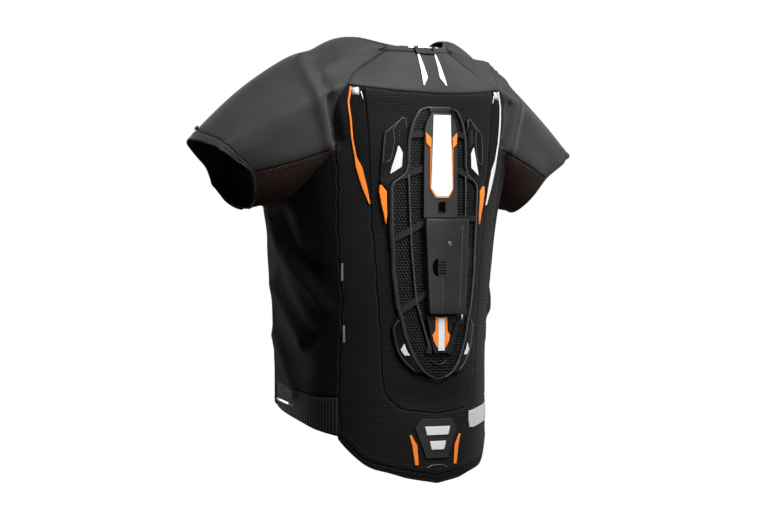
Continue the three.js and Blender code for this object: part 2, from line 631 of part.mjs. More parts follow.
const spineBand = downFrom([
  [0, 0.24], [0.023, 0.205], [0.08, 0.35], [0.2, 0.375], [0.42, 0.37], [0.6, 0.34], [0.77, 0.28], [0.84, 0.2],
], [PROTECTOR_HALF_WIDTH]).map(([z, half]) => [z, -half, half]);
const moduleBand = downFrom([
  [0.4, -0.6, 0.36], [0.765, -0.52, 0.28],
], [PROTECTOR_HALF_WIDTH, PROTECTOR_HALF_WIDTH]);
const latchSeat = downFrom([
  [0.74, -0.64, -0.4], [0.8, -0.6, -0.4],
], [PROTECTOR_HALF_WIDTH, PROTECTOR_HALF_WIDTH]);

// A straight cutter along Y from an outline given as rows
const CUT_DEPTH = 400;
function cutter(rows) {
  const outline = [...rows.map(([z, left]) => [left, z]), ...rows.map(([z, , right]) => [right, z]).reverse()];
  return solidFrom(polygonGeometry(outline));
}
function polygonGeometry(outline) {
  const shape = new THREE.Shape(outline.map(([x, z]) => new THREE.Vector2(x, z)));
  const geometry = new THREE.ExtrudeGeometry(shape, { depth: CUT_DEPTH, bevelEnabled: false });
  return geometry.rotateX(Math.PI / 2).translate(0, CUT_DEPTH / 2, 0);
}
function ribCutter([down, across, nextDown, nextAcross, width]) {
  const place = (d, a) => new THREE.Vector2(a * PROTECTOR_HALF_WIDTH, PROTECTOR_TOP - d * PROTECTOR_LENGTH);
  const [a, b] = [place(down, across), place(nextDown, nextAcross)];
  const along = b.clone().sub(a).normalize();
  const side = vec(-along.y, along.x).multiplyScalar(width / 2);
  a.addScaledVector(along, -1);
  b.addScaledVector(along, 1);
  const corners = [[a, 1], [b, 1], [b, -1], [a, -1]].map(([p, s]) => [p.x + s * side.x, p.y + s * side.y]);
  return solidFrom(polygonGeometry(corners));
}
function solidFrom(source) {
  const geometry = source.clone();
  geometry.deleteAttribute('normal');
  geometry.deleteAttribute('uv');
  const merged = mergeVertices(geometry, 1e-4);
  const { Manifold, Mesh } = wasm;
  const solid = new Manifold(new Mesh({
    numProp: 3,
    vertProperties: new Float32Array(merged.attributes.position.array),
    triVerts: new Uint32Array(merged.index.array),
  }));
  return solid;
}
function geometryFrom(solid) {
  const { vertProperties, triVerts } = solid.getMesh();
  return solidOf(Array.from(vertProperties), Array.from(triVerts));
}
let windows = cutter(outlineRows(RIM_WIDTH));
for (const kept of [cutter(spineBand), cutter(moduleBand), cutter(latchSeat), ...ribs.map(ribCutter)]) {
  windows = windows.subtract(kept);
}
const frameSlab = solidFrom(relief(onBack, outlineRows(0), frameBase, frameTop, FRAME_COLUMNS));
addPiece('protector_frame', geometryFrom(frameSlab.subtract(windows)), shellPlastic());

// Spine on the frame, with the control module, strip and labels on it
const spineBase = lift(frameTop, SEAT_GAP);
const spineTop = (x) => CROWN_HEIGHT + SEAT_GAP + SPINE_HEIGHT * (1 - 0.6 * Math.abs(x / SPINE_SPAN) ** 3);
const SPINE_WIDTHS = [PROTECTOR_HALF_WIDTH, PROTECTOR_HALF_WIDTH];
const spineRows = downFrom([
  [0.024, -0.2, 0.2], [0.05, -0.3, 0.3], [0.085, -0.355, 0.355], [0.2, -0.37, 0.37], [0.408, -0.37, 0.37],
], SPINE_WIDTHS);
addPiece('protector_spine', relief(onBack, spineRows, spineBase, spineTop, 5), shellPlastic());

const moduleTop = (x) => {
  const aside = Math.abs((x + MODULE_OFFSET) / MODULE_SPAN);
  return CROWN_HEIGHT + SPINE_HEIGHT + MODULE_HEIGHT * (1 - 0.25 * aside ** 3);
};
const moduleRows = downFrom([
  [0.412, -0.58, 0.34], [0.43, -0.6, 0.36], [0.74, -0.5, 0.29], [0.762, -0.47, 0.27],
], SPINE_WIDTHS);
addPiece('control_module', relief(onBack, moduleRows, spineBase, moduleTop, 5), finish(0x26282b, 0.55));
const latchRows = downFrom([[0.766, -0.6, -0.47], [0.782, -0.6, -0.47]], SPINE_WIDTHS);
addPiece('module_latch', relief(onBack, latchRows, spineBase, CROWN_HEIGHT + SPINE_HEIGHT * 0.7), silverFilm());

const stripBase = lift(spineTop, SEAT_GAP);
const stripTop = lift(stripBase, LABEL_THICKNESS);
const stripRows = downFrom([
  [0.03, -0.19, 0.19], [0.3, -0.235, 0.235], [0.33, -0.13, 0.13],
], SPINE_WIDTHS);
addPiece('spine_strip', relief(onBack, stripRows, stripBase, stripTop, 4), whitePlastic());
bothSides('strip_wing_SIDE', downFrom([
  [0.095, 0.345, 0.35], [0.115, 0.235, 0.345], [0.135, 0.235, 0.335], [0.152, 0.236, 0.245],
], SPINE_WIDTHS), (name, rows) => addPiece(name, relief(onBack, rows, stripBase, stripTop), orangePlastic()));

const lowerSpineRows = downFrom([
  [0.768, -0.3, 0.3], [0.82, -0.24, 0.24], [0.905, -0.15, 0.15],
], SPINE_WIDTHS);
const lowerSpineTop = lift(spineBase, SPINE_HEIGHT * 0.5);
addPiece('lower_spine', relief(onBack, lowerSpineRows, spineBase, lowerSpineTop, 4), shellPlastic());
const labelBase = lift(lowerSpineTop, SEAT_GAP);
const labelTop = lift(labelBase, LABEL_THICKNESS);
addPiece('lower_label', relief(onBack, downFrom([
  [0.775, -0.07, 0.07], [0.897, -0.07, 0.07],
], SPINE_WIDTHS), labelBase, labelTop, 4), whitePlastic());
bothSides('label_flank_SIDE', downFrom([
  [0.772, 0.075, 0.125], [0.822, 0.075, 0.13], [0.84, 0.075, 0.19], [0.86, 0.075, 0.17], [0.885, 0.075, 0.095],
], SPINE_WIDTHS), (name, rows) => addPiece(name, relief(onBack, rows, labelBase, labelTop), orangePlastic()));

// Wing pads beside the frame, with their blades and inserts
const padTop = (x, z) => {
  const [half] = rimHalfWidth(z);
  return PAD_HEIGHT - PAD_FALL * THREE.MathUtils.clamp((Math.abs(x) - half) / PAD_SPAN, 0, 1);
};
const insertBase = lift(padTop, SEAT_GAP);
const insertTop = lift(insertBase, LABEL_THICKNESS);
bothSides('upper_wing_pad_SIDE', downFrom([
  [0.037, 0.74, 0.78], [0.05, 0.68, 0.84], [0.095, 0.69, 1.12], [0.16, 0.69, 1.15], [0.216, 0.69, 1.165],
  [0.245, 0.75, 1.17], [0.277, 0.975, 1.175], [0.286, 0.995, 1.13], [0.306, 1.013, 1.045],
  [0.4, 1.0, 1.02], [0.52, 0.965, 0.985],
], SPINE_WIDTHS), (name, rows) => addPiece(name, relief(onBack, rows, SEAT_GAP, padTop, 3), shellPlastic()));
bothSides('orange_blade_SIDE', downFrom([
  [0.289, 1.15, 1.18], [0.312, 1.055, 1.19], [0.365, 1.045, 1.135], [0.4, 1.035, 1.09], [0.43, 1.05, 1.06],
], SPINE_WIDTHS), (name, rows) => addPiece(name, relief(onBack, rows, SEAT_GAP, PAD_HEIGHT), orangePlastic()));
bothSides('lower_wing_pad_SIDE', downFrom([
  [0.774, 0.8, 0.82], [0.789, 0.79, 0.87], [0.811, 0.765, 0.925], [0.842, 0.73, 0.9], [0.888, 0.645, 0.85],
  [0.917, 0.57, 0.79], [0.949, 0.47, 0.665], [0.977, 0.36, 0.5],
], SPINE_WIDTHS), (name, rows) => addPiece(name, relief(onBack, rows, SEAT_GAP, padTop, 3), shellPlastic()));
bothSides('upper_insert_SIDE', downFrom([
  [0.146, 0.84, 0.86], [0.17, 0.77, 0.89], [0.222, 0.785, 0.97], [0.247, 0.98, 1.0],
], SPINE_WIDTHS), (name, rows) => addPiece(name, relief(onBack, rows, insertBase, insertTop), whitePlastic()));
bothSides('lower_insert_SIDE', downFrom([
  [0.87, 0.7, 0.71], [0.893, 0.66, 0.765], [0.913, 0.6, 0.7],
], SPINE_WIDTHS), (name, rows) => addPiece(name, relief(onBack, rows, insertBase, insertTop), whitePlastic()));

// Trim bonded or sewn on the cloth of the back
const backTrim = (rows) => scaled(rows, [BACK_LENGTH, CHEST_HALF_WIDTH, CHEST_HALF_WIDTH]);
const trimTop = SEAT_GAP + LABEL_THICKNESS;
const pipingRows = backTrim([
  [-0.1, 0.586, 0.597], [-0.137, 0.605, 0.616], [-0.22, 0.582, 0.594], [-0.262, 0.557, 0.57],
  [-0.286, 0.521, 0.559], [-0.33, 0.487, 0.519], [-0.37, 0.463, 0.472],
]);
bothSides('vent_piping_SIDE', pipingRows, (name, rows) => {
  const colour = name.endsWith(LEFT) ? orangePlastic() : whitePlastic();
  addPiece(name, relief(onBack, rows, SEAT_GAP, trimTop + LABEL_THICKNESS), colour);
});
for (const [place, top, edge] of [['upper', -0.507, 0.593], ['lower', -0.65, 0.567]]) {
  bothSides(`seam_dash_${place}_SIDE`, backTrim([
    [top, edge, edge + 0.012], [top - 0.04, edge - 0.006, edge + 0.006],
  ]), (name, rows) => addPiece(name, relief(onBack, rows, SEAT_GAP, trimTop), silverFilm()));
}
const waistLabelRows = backTrim([
  [-0.838, -0.565, -0.555], [-0.854, -0.568, -0.292], [-0.876, -0.568, -0.29], [-0.892, -0.35, -0.3],
]);
const WAIST_LABEL_STEP = 3; // its slanting edges need close rows to follow the cloth
addPiece('waist_label', relief(onBack, waistLabelRows, SEAT_GAP, trimTop, 6, WAIST_LABEL_STEP), whitePlastic());

// Rubber badge at the back hem: a plain shield with three bars, and a straight bar down each side
const badgeTop = SEAT_GAP + 1.4;
addPiece('badge_shield', relief(onBack, backTrim([
  [-0.868, -0.12, 0.12], [-0.89, -0.165, 0.165], [-0.96, -0.085, 0.085],
]), SEAT_GAP, badgeTop, 4), finish(0x141415, 0.6));
['upper', 'lower'].forEach((place, n) => {
  const half = 0.1 - 0.035 * n;
  const top = -0.886 - 0.034 * n;
  addPiece(`badge_bar_${place}`, relief(onBack, backTrim([[top, -half, half], [top - 0.02, -half + 0.016,
    half - 0.016]]), badgeTop + SEAT_GAP, badgeTop + SEAT_GAP + LABEL_THICKNESS), whitePlastic());
});
bothSides('badge_flank_SIDE', backTrim([
  [-0.905, 0.19, 0.205], [-0.93, 0.15, 0.185], [-0.975, 0.14, 0.165],
]), (name, rows) => addPiece(name, relief(onBack, rows, SEAT_GAP, trimTop), orangePlastic()));

// Hanger tab, loop and ribbons on the yoke, by share up from the yoke seam and share across
const onYoke = (x, t) => {
  const step = 0.01;
  const c = x / backRaglan(t)[0];
  const across = yokePoint(c + step, t).sub(yokePoint(c - step, t));
  const up = yokePoint(c, t + step).sub(yokePoint(c, t - step));
  return { point: yokePoint(c, t), normal: up.cross(across).normalize() };
};
const HANGER_BAND = 1.4;
const YOKE_STEP = 0.15;
const hangerTop = SEAT_GAP + HANGER_BAND;
const yokeRelief = (rows, base, top, columns = 2) =>
  relief(onYoke, scaled(rows, [1, NECK_HALF_WIDTH, NECK_HALF_WIDTH]), base, top, columns, YOKE_STEP);
addPiece('hanger_tab', yokeRelief([[0.95, -0.36, 0.36], [0.985, -0.36, 0.36]], SEAT_GAP, hangerTop, 4),
  silverFilm());
bothSides('neck_ribbon_SIDE', [[0.15, 0.265, 0.29], [0.3, 0.155, 0.28], [0.34, 0.15, 0.275], [0.84, 0.185, 0.225]],
  (name, rows) => addPiece(name, yokeRelief(rows, SEAT_GAP, hangerTop), whitePlastic()));
const loopBase = hangerTop + SEAT_GAP;
const loopTop = loopBase + HANGER_BAND;
const [LOOP_OUTER, LOOP_INNER, LOOP_LOW, LOOP_BAR] = [0.244, 0.167, 0.815, 0.86];
const loopLegs = [[LOOP_LOW, LOOP_INNER, LOOP_OUTER], [0.975, LOOP_INNER, LOOP_OUTER]];
const hangerLoop = [[[LOOP_LOW, -LOOP_OUTER, LOOP_OUTER], [LOOP_BAR, -LOOP_OUTER, LOOP_OUTER]],
  loopLegs, mirrorRows(loopLegs)].map((rows) => solidFrom(yokeRelief(rows, loopBase, loopTop)));
addPiece('hanger_loop', geometryFrom(hangerLoop[0].add(hangerLoop[1]).add(hangerLoop[2])), stretchCloth());

// Press stud that stands on the left sleeve beside the cuff, and the light strip at the front of the left hem
const studSeat = sleeveGrid(2, 0.93);
const studNormal = sleeveGrid(3, 0.93).sub(sleeveGrid(1, 0.93)).cross(sleeveGrid(2, 0.98).sub(studSeat))
  .normalize();
studNormal.multiplyScalar(Math.sign(studNormal.z));
const stud = new THREE.LatheGeometry([
  [0, 0], [0.55, 0], [0.55, 0.35], [1, 0.45], [1, 0.85], [0.7, 1], [0, 1],
].map(([r, h]) => new THREE.Vector2(r * BUTTON_RADIUS, h * BUTTON_HEIGHT)), 12);
stud.applyQuaternion(new THREE.Quaternion().setFromUnitVectors(vec(0, 1, 0), studNormal));
stud.translate(...studSeat.addScaledVector(studNormal, SEAT_GAP).toArray());
addPiece('cuff_stud', stud, finish(0x101010, 0.4));

const onSide = (w, r) => {
  const at = (a, b) => sideSurface(a, b);
  const step = 0.01;
  const across = at(w + step, r).sub(at(w - step, r));
  return { point: at(w, r), normal: across.cross(vec(0, 0, -1)).normalize() };
};
addPiece('hem_reflector', relief(onSide, [[0.962, 0.93, 0.985], [0.99, 0.86, 0.985]], SEAT_GAP, trimTop, 2, 1),
  whitePlastic());

export default garment;
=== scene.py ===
import math

import bmesh
import bpy
import numpy as np
from mathutils import Matrix, Vector
from mathutils.bvhtree import BVHTree
from mathutils.kdtree import KDTree


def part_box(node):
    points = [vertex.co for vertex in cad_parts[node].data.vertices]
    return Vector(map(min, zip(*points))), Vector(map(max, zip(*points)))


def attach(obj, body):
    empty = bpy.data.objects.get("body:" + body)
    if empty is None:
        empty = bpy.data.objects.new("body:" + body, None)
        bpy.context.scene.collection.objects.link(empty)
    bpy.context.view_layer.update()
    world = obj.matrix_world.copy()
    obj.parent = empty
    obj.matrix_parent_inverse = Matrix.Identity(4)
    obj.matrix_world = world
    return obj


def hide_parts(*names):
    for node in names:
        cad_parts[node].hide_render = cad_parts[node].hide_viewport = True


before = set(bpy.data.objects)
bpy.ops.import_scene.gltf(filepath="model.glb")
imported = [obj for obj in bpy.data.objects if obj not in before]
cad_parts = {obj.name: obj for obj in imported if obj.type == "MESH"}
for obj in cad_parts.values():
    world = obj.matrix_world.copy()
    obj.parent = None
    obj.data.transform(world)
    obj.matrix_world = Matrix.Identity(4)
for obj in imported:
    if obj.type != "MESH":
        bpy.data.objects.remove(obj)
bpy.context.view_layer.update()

# The studio. The vest hangs in the air as if worn, so the pale floor lies well below it and throws
# no light back. Large soft lamps stand above, right of the camera and along each edge.
floor_radius, floor_height = 3.0, -1.25
floor = bmesh.new()
bmesh.ops.create_circle(floor, cap_ends=True, segments=64, radius=floor_radius,
                        matrix=Matrix.Translation((0, 0, floor_height)))
floor_mesh = bpy.data.meshes.new("floor")
floor.to_mesh(floor_mesh)
floor.free()
floor_disc = bpy.data.objects.new("floor", floor_mesh)
bpy.context.collection.objects.link(floor_disc)
pale_floor = bpy.data.materials.new("pale_floor")
pale_floor.use_nodes = True
floor_mesh.materials.append(pale_floor)
floor_shader = pale_floor.node_tree.nodes["Principled BSDF"]
floor_shader.inputs["Base Color"].default_value = (0.4, 0.4, 0.4, 1)
floor_shader.inputs["Roughness"].default_value = 0.7
floor_shader.inputs["Emission Color"].default_value = (1, 1, 1, 1)
floor_shader.inputs["Emission Strength"].default_value = 0.6
floor_disc.visible_diffuse = floor_disc.visible_glossy = False

world = bpy.data.worlds.new("white_studio")
world.use_nodes = True
around = world.node_tree
soft_white = around.nodes["Background"]
soft_white.inputs["Color"].default_value = (1, 1, 1, 1)
soft_white.inputs["Strength"].default_value = 0.07
backdrop = around.nodes.new("ShaderNodeBackground")
backdrop.inputs["Color"].default_value = (1, 1, 1, 1)
seen = around.nodes.new("ShaderNodeLightPath")
either = around.nodes.new("ShaderNodeMixShader")
around.links.new(seen.outputs["Is Camera Ray"], either.inputs["Fac"])
around.links.new(soft_white.outputs[0], either.inputs[1])
around.links.new(backdrop.outputs[0], either.inputs[2])
around.links.new(either.outputs[0], around.nodes["World Output"].inputs["Surface"])
bpy.context.scene.world = world
bpy.context.scene.view_settings.view_transform = "Standard"

look_at = Vector((0.017, -0.0123, -0.323))
behind_and_left, camera_distance = Vector((0.5878, 0.8090, 0)), 5.0
camera_data = bpy.data.cameras.new("camera")
camera_data.lens = 150.6
camera_data.sensor_width = 36
camera_data.clip_end = 30
camera = bpy.data.objects.new("camera", camera_data)
camera.location = look_at + camera_distance * behind_and_left
camera.rotation_euler = (look_at - camera.location).to_track_quat("-Z", "Y").to_euler()
bpy.context.collection.objects.link(camera)
bpy.context.scene.camera = camera

for lamp_name, place, width, height, power in (
    ("lamp_above", (-0.1, 0.9, 0.95), 1.3, 1.0, 53),
    ("lamp_right_of_camera", (-0.7, 3.3, 1.1), 1.6, 1.6, 30),
    ("lamp_left_edge", (0.75, -1.6, -0.1), 0.5, 1.8, 27),
    ("lamp_right_edge", (-1.5, -0.3, -0.25), 0.5, 1.8, 6),
):
    lamp_data = bpy.data.lights.new(lamp_name, "AREA")
    lamp_data.shape = "RECTANGLE"
    lamp_data.size, lamp_data.size_y, lamp_data.energy = width, height, power
    lamp = bpy.data.objects.new(lamp_name, lamp_data)
    lamp.location = place
    lamp.rotation_euler = (look_at - lamp.location).to_track_quat("-Z", "Y").to_euler()
    bpy.context.collection.objects.link(lamp)

# The cloths. The back is a fine rib knit with level ribs, the shoulders and sleeves a smooth matt
# jersey, the sides and underarms an open mesh with a brown cast, the waist patches a dotted rib.


class Socket:
    """An output of a shader node. Python's operators on it add Math nodes."""

    def __init__(self, finish, output):
        self.finish, self.output = finish, output

    def maths(self, operation, *values):
        return self.finish.node("ShaderNodeMath", {"operation": operation},
                                dict(enumerate(values)))

    def __add__(self, other):
        return self.maths("ADD", self, other)

    def __sub__(self, other):
        return self.maths("SUBTRACT", self, other)

    def __mul__(self, other):
        return self.maths("MULTIPLY", self, other)

    __radd__, __rmul__ = __add__, __mul__

    def sine(self):
        return self.maths("SINE", self)

    def angle(self, other):
        return self.maths("ARCTAN2", self, other)


class Finish:
    """One material. Its even values sit on the shader's own sockets; feed() links what varies."""

    def __init__(self, name, colour, roughness, **even):
        self.material = bpy.data.materials.new(name)
        self.material.use_nodes = True
        self.tree = self.material.node_tree
        self.shader = self.tree.nodes["Principled BSDF"]
        self.shader.inputs["Base Color"].default_value = (*colour, 1)
        self.shader.inputs["Roughness"].default_value = roughness
        for key, value in even.items():
            socket = key.replace("_", " ").title().replace("Ior", "IOR")
            self.shader.inputs[socket].default_value = value

    def node(self, kind, settings=None, inputs=None, output=0):
        made = self.tree.nodes.new(kind)
        for name, value in (settings or {}).items():
            setattr(made, name, value)
        for key, value in (inputs or {}).items():
            if isinstance(value, Socket):
                self.tree.links.new(value.output, made.inputs[key])
            else:
                made.inputs[key].default_value = value
        return Socket(self, made.outputs[output])

    def feed(self, socket, value):
        self.tree.links.new(value.output, self.shader.inputs[socket])

    def places(self):
        spot = self.node("ShaderNodeTexCoord", output="Object")
        return [self.node("ShaderNodeSeparateXYZ", inputs={0: spot}, output=n) for n in range(3)]

    def noise(self, scale, detail=2.0):
        spot = self.node("ShaderNodeTexCoord", output="Object")
        return self.node("ShaderNodeTexNoise",
                         inputs={"Vector": spot, "Scale": scale, "Detail": detail})

    def ranged(self, value, low, high, to_low=0.0, to_high=1.0):
        return self.node("ShaderNodeMapRange", {"interpolation_type": "SMOOTHSTEP"},
                         {0: value, 1: low, 2: high, 3: to_low, 4: to_high})

    def blend(self, share, first, second):
        a, b = ((*c, 1) if isinstance(c, tuple) else c for c in (first, second))
        return self.node("ShaderNodeMix", {"data_type": "RGBA"}, {0: share, 6: a, 7: b}, output=2)

    def bump(self, height, depth, strength=1.0):
        self.feed("Normal", self.node("ShaderNodeBump", inputs={
            "Height": height, "Distance": depth, "Strength": strength}))


def seam_painted_shade(cloth, colour):
    """The colour, with painted shade that darkens it where the cloth turns down into a seam."""
    fold, flat = 0.0004, 0.0022  # metres from the seam
    seam = cloth.node("ShaderNodeAttribute", {"attribute_name": "near_seam"}, output=2)
    return cloth.blend(cloth.ranged(seam, fold, flat), (0.001, 0.001, 0.001), colour)


def jersey(name, dark, light):
    """Smooth stretch cloth with a fine grain."""
    cloth = Finish(name, dark, 0.8, specular_ior_level=0.22, sheen_weight=0.1, sheen_roughness=0.45)
    grain = cloth.noise(900, 3)
    cloud = cloth.noise(14, 3)
    shade = cloth.ranged(grain * 0.7 + cloud * 0.3, 0.35, 0.65)
    cloth.feed("Base Color", seam_painted_shade(cloth, cloth.blend(shade, dark, light)))
    cloth.feed("Roughness", cloth.ranged(grain, 0.3, 0.7, 0.62, 0.8))
    cloth.bump(grain, 0.0003, 0.6)
    return cloth.material


def rib_knit(name, pitch, dark, light):
    """Knit with level ribs."""
    cloth = Finish(name, dark, 0.8, specular_ior_level=0.1, sheen_weight=0.02, sheen_roughness=0.5)
    z = cloth.places()[2]
    rib = (z * (2 * math.pi / pitch)).sine() * 0.5 + 0.5
    grain = cloth.noise(1400, 2)
    cloud = cloth.noise(9, 3)
    cloth.feed("Base Color", seam_painted_shade(cloth, cloth.blend(rib * 0.6 + cloud * 0.4, dark, light)))
    cloth.feed("Roughness", cloth.ranged(rib, 0, 1, 0.9, 0.62))
    cloth.bump(rib + grain * 0.35, pitch * 0.085)
    return cloth.material


def dotted_knit(name, column, row, dark, light):
    """Coarse knit whose raised dots stand in columns."""
    cloth = Finish(name, dark, 0.8, specular_ior_level=0.2, sheen_weight=0.04, sheen_roughness=0.5)
    _, y, z = cloth.places()
    columns = (y * (2 * math.pi / column)).sine() * 0.5 + 0.5
    rows = (z * (2 * math.pi / row)).sine() * 0.4 + 0.6
    dots = cloth.ranged(columns * rows, 0.35, 0.9)
    cloth.feed("Base Color", seam_painted_shade(cloth, cloth.blend(dots, dark, light)))
    cloth.feed("Roughness", cloth.ranged(dots, 0, 1, 0.9, 0.55))
    cloth.bump(dots + cloth.noise(1400, 2) * 0.25, row * 0.2)
    return cloth.material


def open_mesh(name, pitch, dark, light, dot=0.25, cloudy=0.25, underarm=False):
    """Mesh cloth, a lattice of lighter dots on a dark ground."""
    cloth = Finish(name, dark, 0.85, specular_ior_level=0.07, sheen_weight=0.02,
                   sheen_roughness=0.5)
    x, y, z = cloth.places()
    turn = 2 * math.pi / pitch
    across, along = y * turn, z * turn
    if underarm:  # the rows run round the arm, so they keep their spacing from front to back
        arm_drop, arm_forward, arm_radius = 0.13, 0.035, 0.08
        round_arm = (z + arm_drop).angle(y + arm_forward)
        across, along = x * turn, round_arm * (turn * arm_radius)
    weave = ((across + along).sine() * (across - along).sine()) * 0.5 + 0.5
    weave = cloth.ranged(weave, dot, dot + 0.45)
    cloud = cloth.noise(12, 3)
    shade = weave * (1 - cloudy) + cloud * cloudy
    cloth.feed("Base Color", seam_painted_shade(cloth, cloth.blend(shade, dark, light)))
    cloth.feed("Roughness", cloth.ranged(weave, 0, 1, 0.95, 0.66))
    cloth.bump(weave, 0.0007)
    return cloth.material


cloths = {
    "stretch": jersey("shoulder_jersey", (0.017, 0.017, 0.0175), (0.030, 0.030, 0.031)),
    "rib": rib_knit("back_rib_knit", 0.0034, (0.0040, 0.0040, 0.0041), (0.0100, 0.0100, 0.0104)),
    "mesh": open_mesh("side_mesh", 0.0034, (0.0012, 0.0009, 0.0009), (0.0050, 0.0034, 0.0034)),
    "underarm": open_mesh("underarm_mesh", 0.0056, (0.0030, 0.0023, 0.0023), (0.13, 0.068, 0.052),
                          dot=0.45, cloudy=0.06, underarm=True),
    "knit": dotted_knit("waist_dotted_knit", 0.0046, 0.0026, (0.002, 0.002, 0.002),
                        (0.040, 0.040, 0.043)),
    "vent": open_mesh("vent_mesh", 0.003, (0.002, 0.002, 0.002), (0.009, 0.009, 0.010)),
    "hem": rib_knit("hem_band_knit", 0.0034, (0.0008, 0.0008, 0.0008), (0.0025, 0.0025, 0.0025)),
    "zip": jersey("zip_tape", (0.008, 0.008, 0.008), (0.014, 0.014, 0.014)),
}

# The shell. Its panels are sewn edge to edge into one form, so they are first joined, made smooth
# and creased together, and then cut apart along their seams again, each with its own cloth.
wall_thickness, sewing_gap = 0.002, 0.0022
panels = {
    # panel: cloth, a point behind its outer side, its flat width and length and its area (m, m2)
    "shoulder_yoke": ("stretch", (0, 0, -0.24), (0.30, 0.09), 0.0175),
    "neck_binding": ("stretch", (0, 0, -0.24), (0.50, 0.02), 0.0084),
    "back_center_panel": ("rib", (0, -0.04, -0.35), (0.25, 0.50), 0.1017),
    "back_surround_panel": ("rib", (0, -0.04, -0.35), (0.34, 0.60), 0.0735),
    "hem_band": ("hem", (0, -0.04, -0.6), (0.33, 0.012), 0.0031),
    "front_zip": ("zip", (0, -0.04, -0.35), (0.0185, 0.51), 0.0090),
}
for side, sign in (("left", 1), ("right", -1)):
    panels.update({
        f"side_vent_{side}": ("vent", (0, -0.04, -0.2), (0.036, 0.18), 0.0033),
        f"side_panel_{side}": ("mesh", (0, -0.04, -0.4), (0.20, 0.41), 0.0550),
        f"side_knit_{side}": ("knit", (0, -0.04, -0.5), (0.14, 0.09), 0.0068),
        f"front_panel_{side}": ("rib", (0, 0.02, -0.35), (0.21, 0.53), 0.0780),
        f"sleeve_{side}": ("stretch", (0.2 * sign, -0.045, -0.14), (0.42, 0.36), 0.0811),
        f"cuff_{side}": ("stretch", (0.26 * sign, -0.045, -0.15), (0.31, 0.0165), 0.0038),
        f"sleeve_gusset_{side}": ("underarm", (0.2 * sign, -0.045, -0.1), (0.19, 0.14), 0.0152),
    })


def connected(faces):
    """Groups of faces that share edges."""
    left, groups = set(faces), []
    while left:
        group, reach = [], [left.pop()]
        while reach:
            face = reach.pop()
            group.append(face)
            for edge in face.edges:
                for other in edge.link_faces:
                    if other in left:
                        left.discard(other)
                        reach.append(other)
        groups.append(group)
    return groups


def outer_side(node, behind):
    """The outer faces of a cloth node, without the walls at its edges and its inner face."""
    form = bmesh.new()
    form.from_mesh(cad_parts[node].data)
    bmesh.ops.remove_doubles(form, verts=form.verts, dist=1e-5)
    walls = [f for f in form.faces
             if any(abs(e.calc_length() - wall_thickness) < 3e-5 for e in f.edges)]
    bmesh.ops.delete(form, geom=walls, context="FACES")
    away = Vector(behind)
    for group in connected(form.faces):
        outward = sum(f.normal.dot(f.calc_center_median() - away) * f.calc_area() for f in group)
        if outward < 0:
            bmesh.ops.delete(form, geom=group, context="FACES")
    return form


shell = bmesh.new()
for number, (panel, (_, behind, *_)) in enumerate(panels.items()):
    piece = outer_side(panel, behind)
    for face in piece.faces:
        face.material_index = number
    scrap = bpy.data.meshes.new("scrap")
    piece.to_mesh(scrap)
    piece.free()
    shell.from_mesh(scrap)
    bpy.data.meshes.remove(scrap)
bmesh.ops.remove_doubles(shell, verts=shell.verts, dist=sewing_gap)
bmesh.ops.join_triangles(shell, faces=shell.faces, cmp_materials=True,
                         angle_face_threshold=math.pi, angle_shape_threshold=math.pi)
shell_mesh = bpy.data.meshes.new("shell_form")
shell.to_mesh(shell_mesh)
shell_corners = np.array([v.co for v in shell.verts])
shell.free()
shell_form = bpy.data.objects.new("shell_form", shell_mesh)
bpy.context.collection.objects.link(shell_form)
smoothing = shell_form.modifiers.new("smoothing", "SUBSURF")
smoothing.levels = smoothing.render_levels = 3


def smoothed():
    """The mesh that the smoothing makes of the sewn form."""
    bpy.context.view_layer.update()
    shown = shell_form.evaluated_get(bpy.context.evaluated_depsgraph_get())
    return bpy.data.meshes.new_from_object(shown)


# Smoothing draws the form in, so its corners are pushed out until the smooth form meets the panels.
push = 0.8
for _ in range(3):
    fine = smoothed()
    reached = np.zeros(len(fine.vertices) * 3, np.float32)
    fine.vertices.foreach_get("co", reached)
    reached = reached.reshape(-1, 3)[:len(shell_corners)]
    control = np.zeros(len(shell_corners) * 3, np.float32)
    shell_mesh.vertices.foreach_get("co", control)
    control = control.reshape(-1, 3) + push * (shell_corners - reached)
    shell_mesh.vertices.foreach_set("co", control.astype(np.float32).ravel())
    shell_mesh.update()
    bpy.data.meshes.remove(fine)
fine = smoothed()
bpy.data.objects.remove(shell_form)

# Creases in the shell. Stretch cloth bunches where the arm meets the body and at the waist, and
# every seam pulls the cloth in along its line.
shell = bmesh.new()
shell.from_mesh(fine)
bpy.data.meshes.remove(fine)
shell.normal_update()
shell.verts.ensure_lookup_table()
points = np.array([v.co for v in shell.verts])
normals = np.array([v.normal for v in shell.verts])
seam_edges = [e for e in shell.edges if len(e.link_faces) != 2
              or e.link_faces[0].material_index != e.link_faces[1].material_index]
names = list(panels)


def pulled_in(edge):
    """Whether a seam at an edge draws the cloth in, as it doesn't at an open edge or a cuff."""
    sides = sorted(names[face.material_index][:5] for face in edge.link_faces)
    return len(sides) == 2 and sides != ["cuff_", "sleev"]


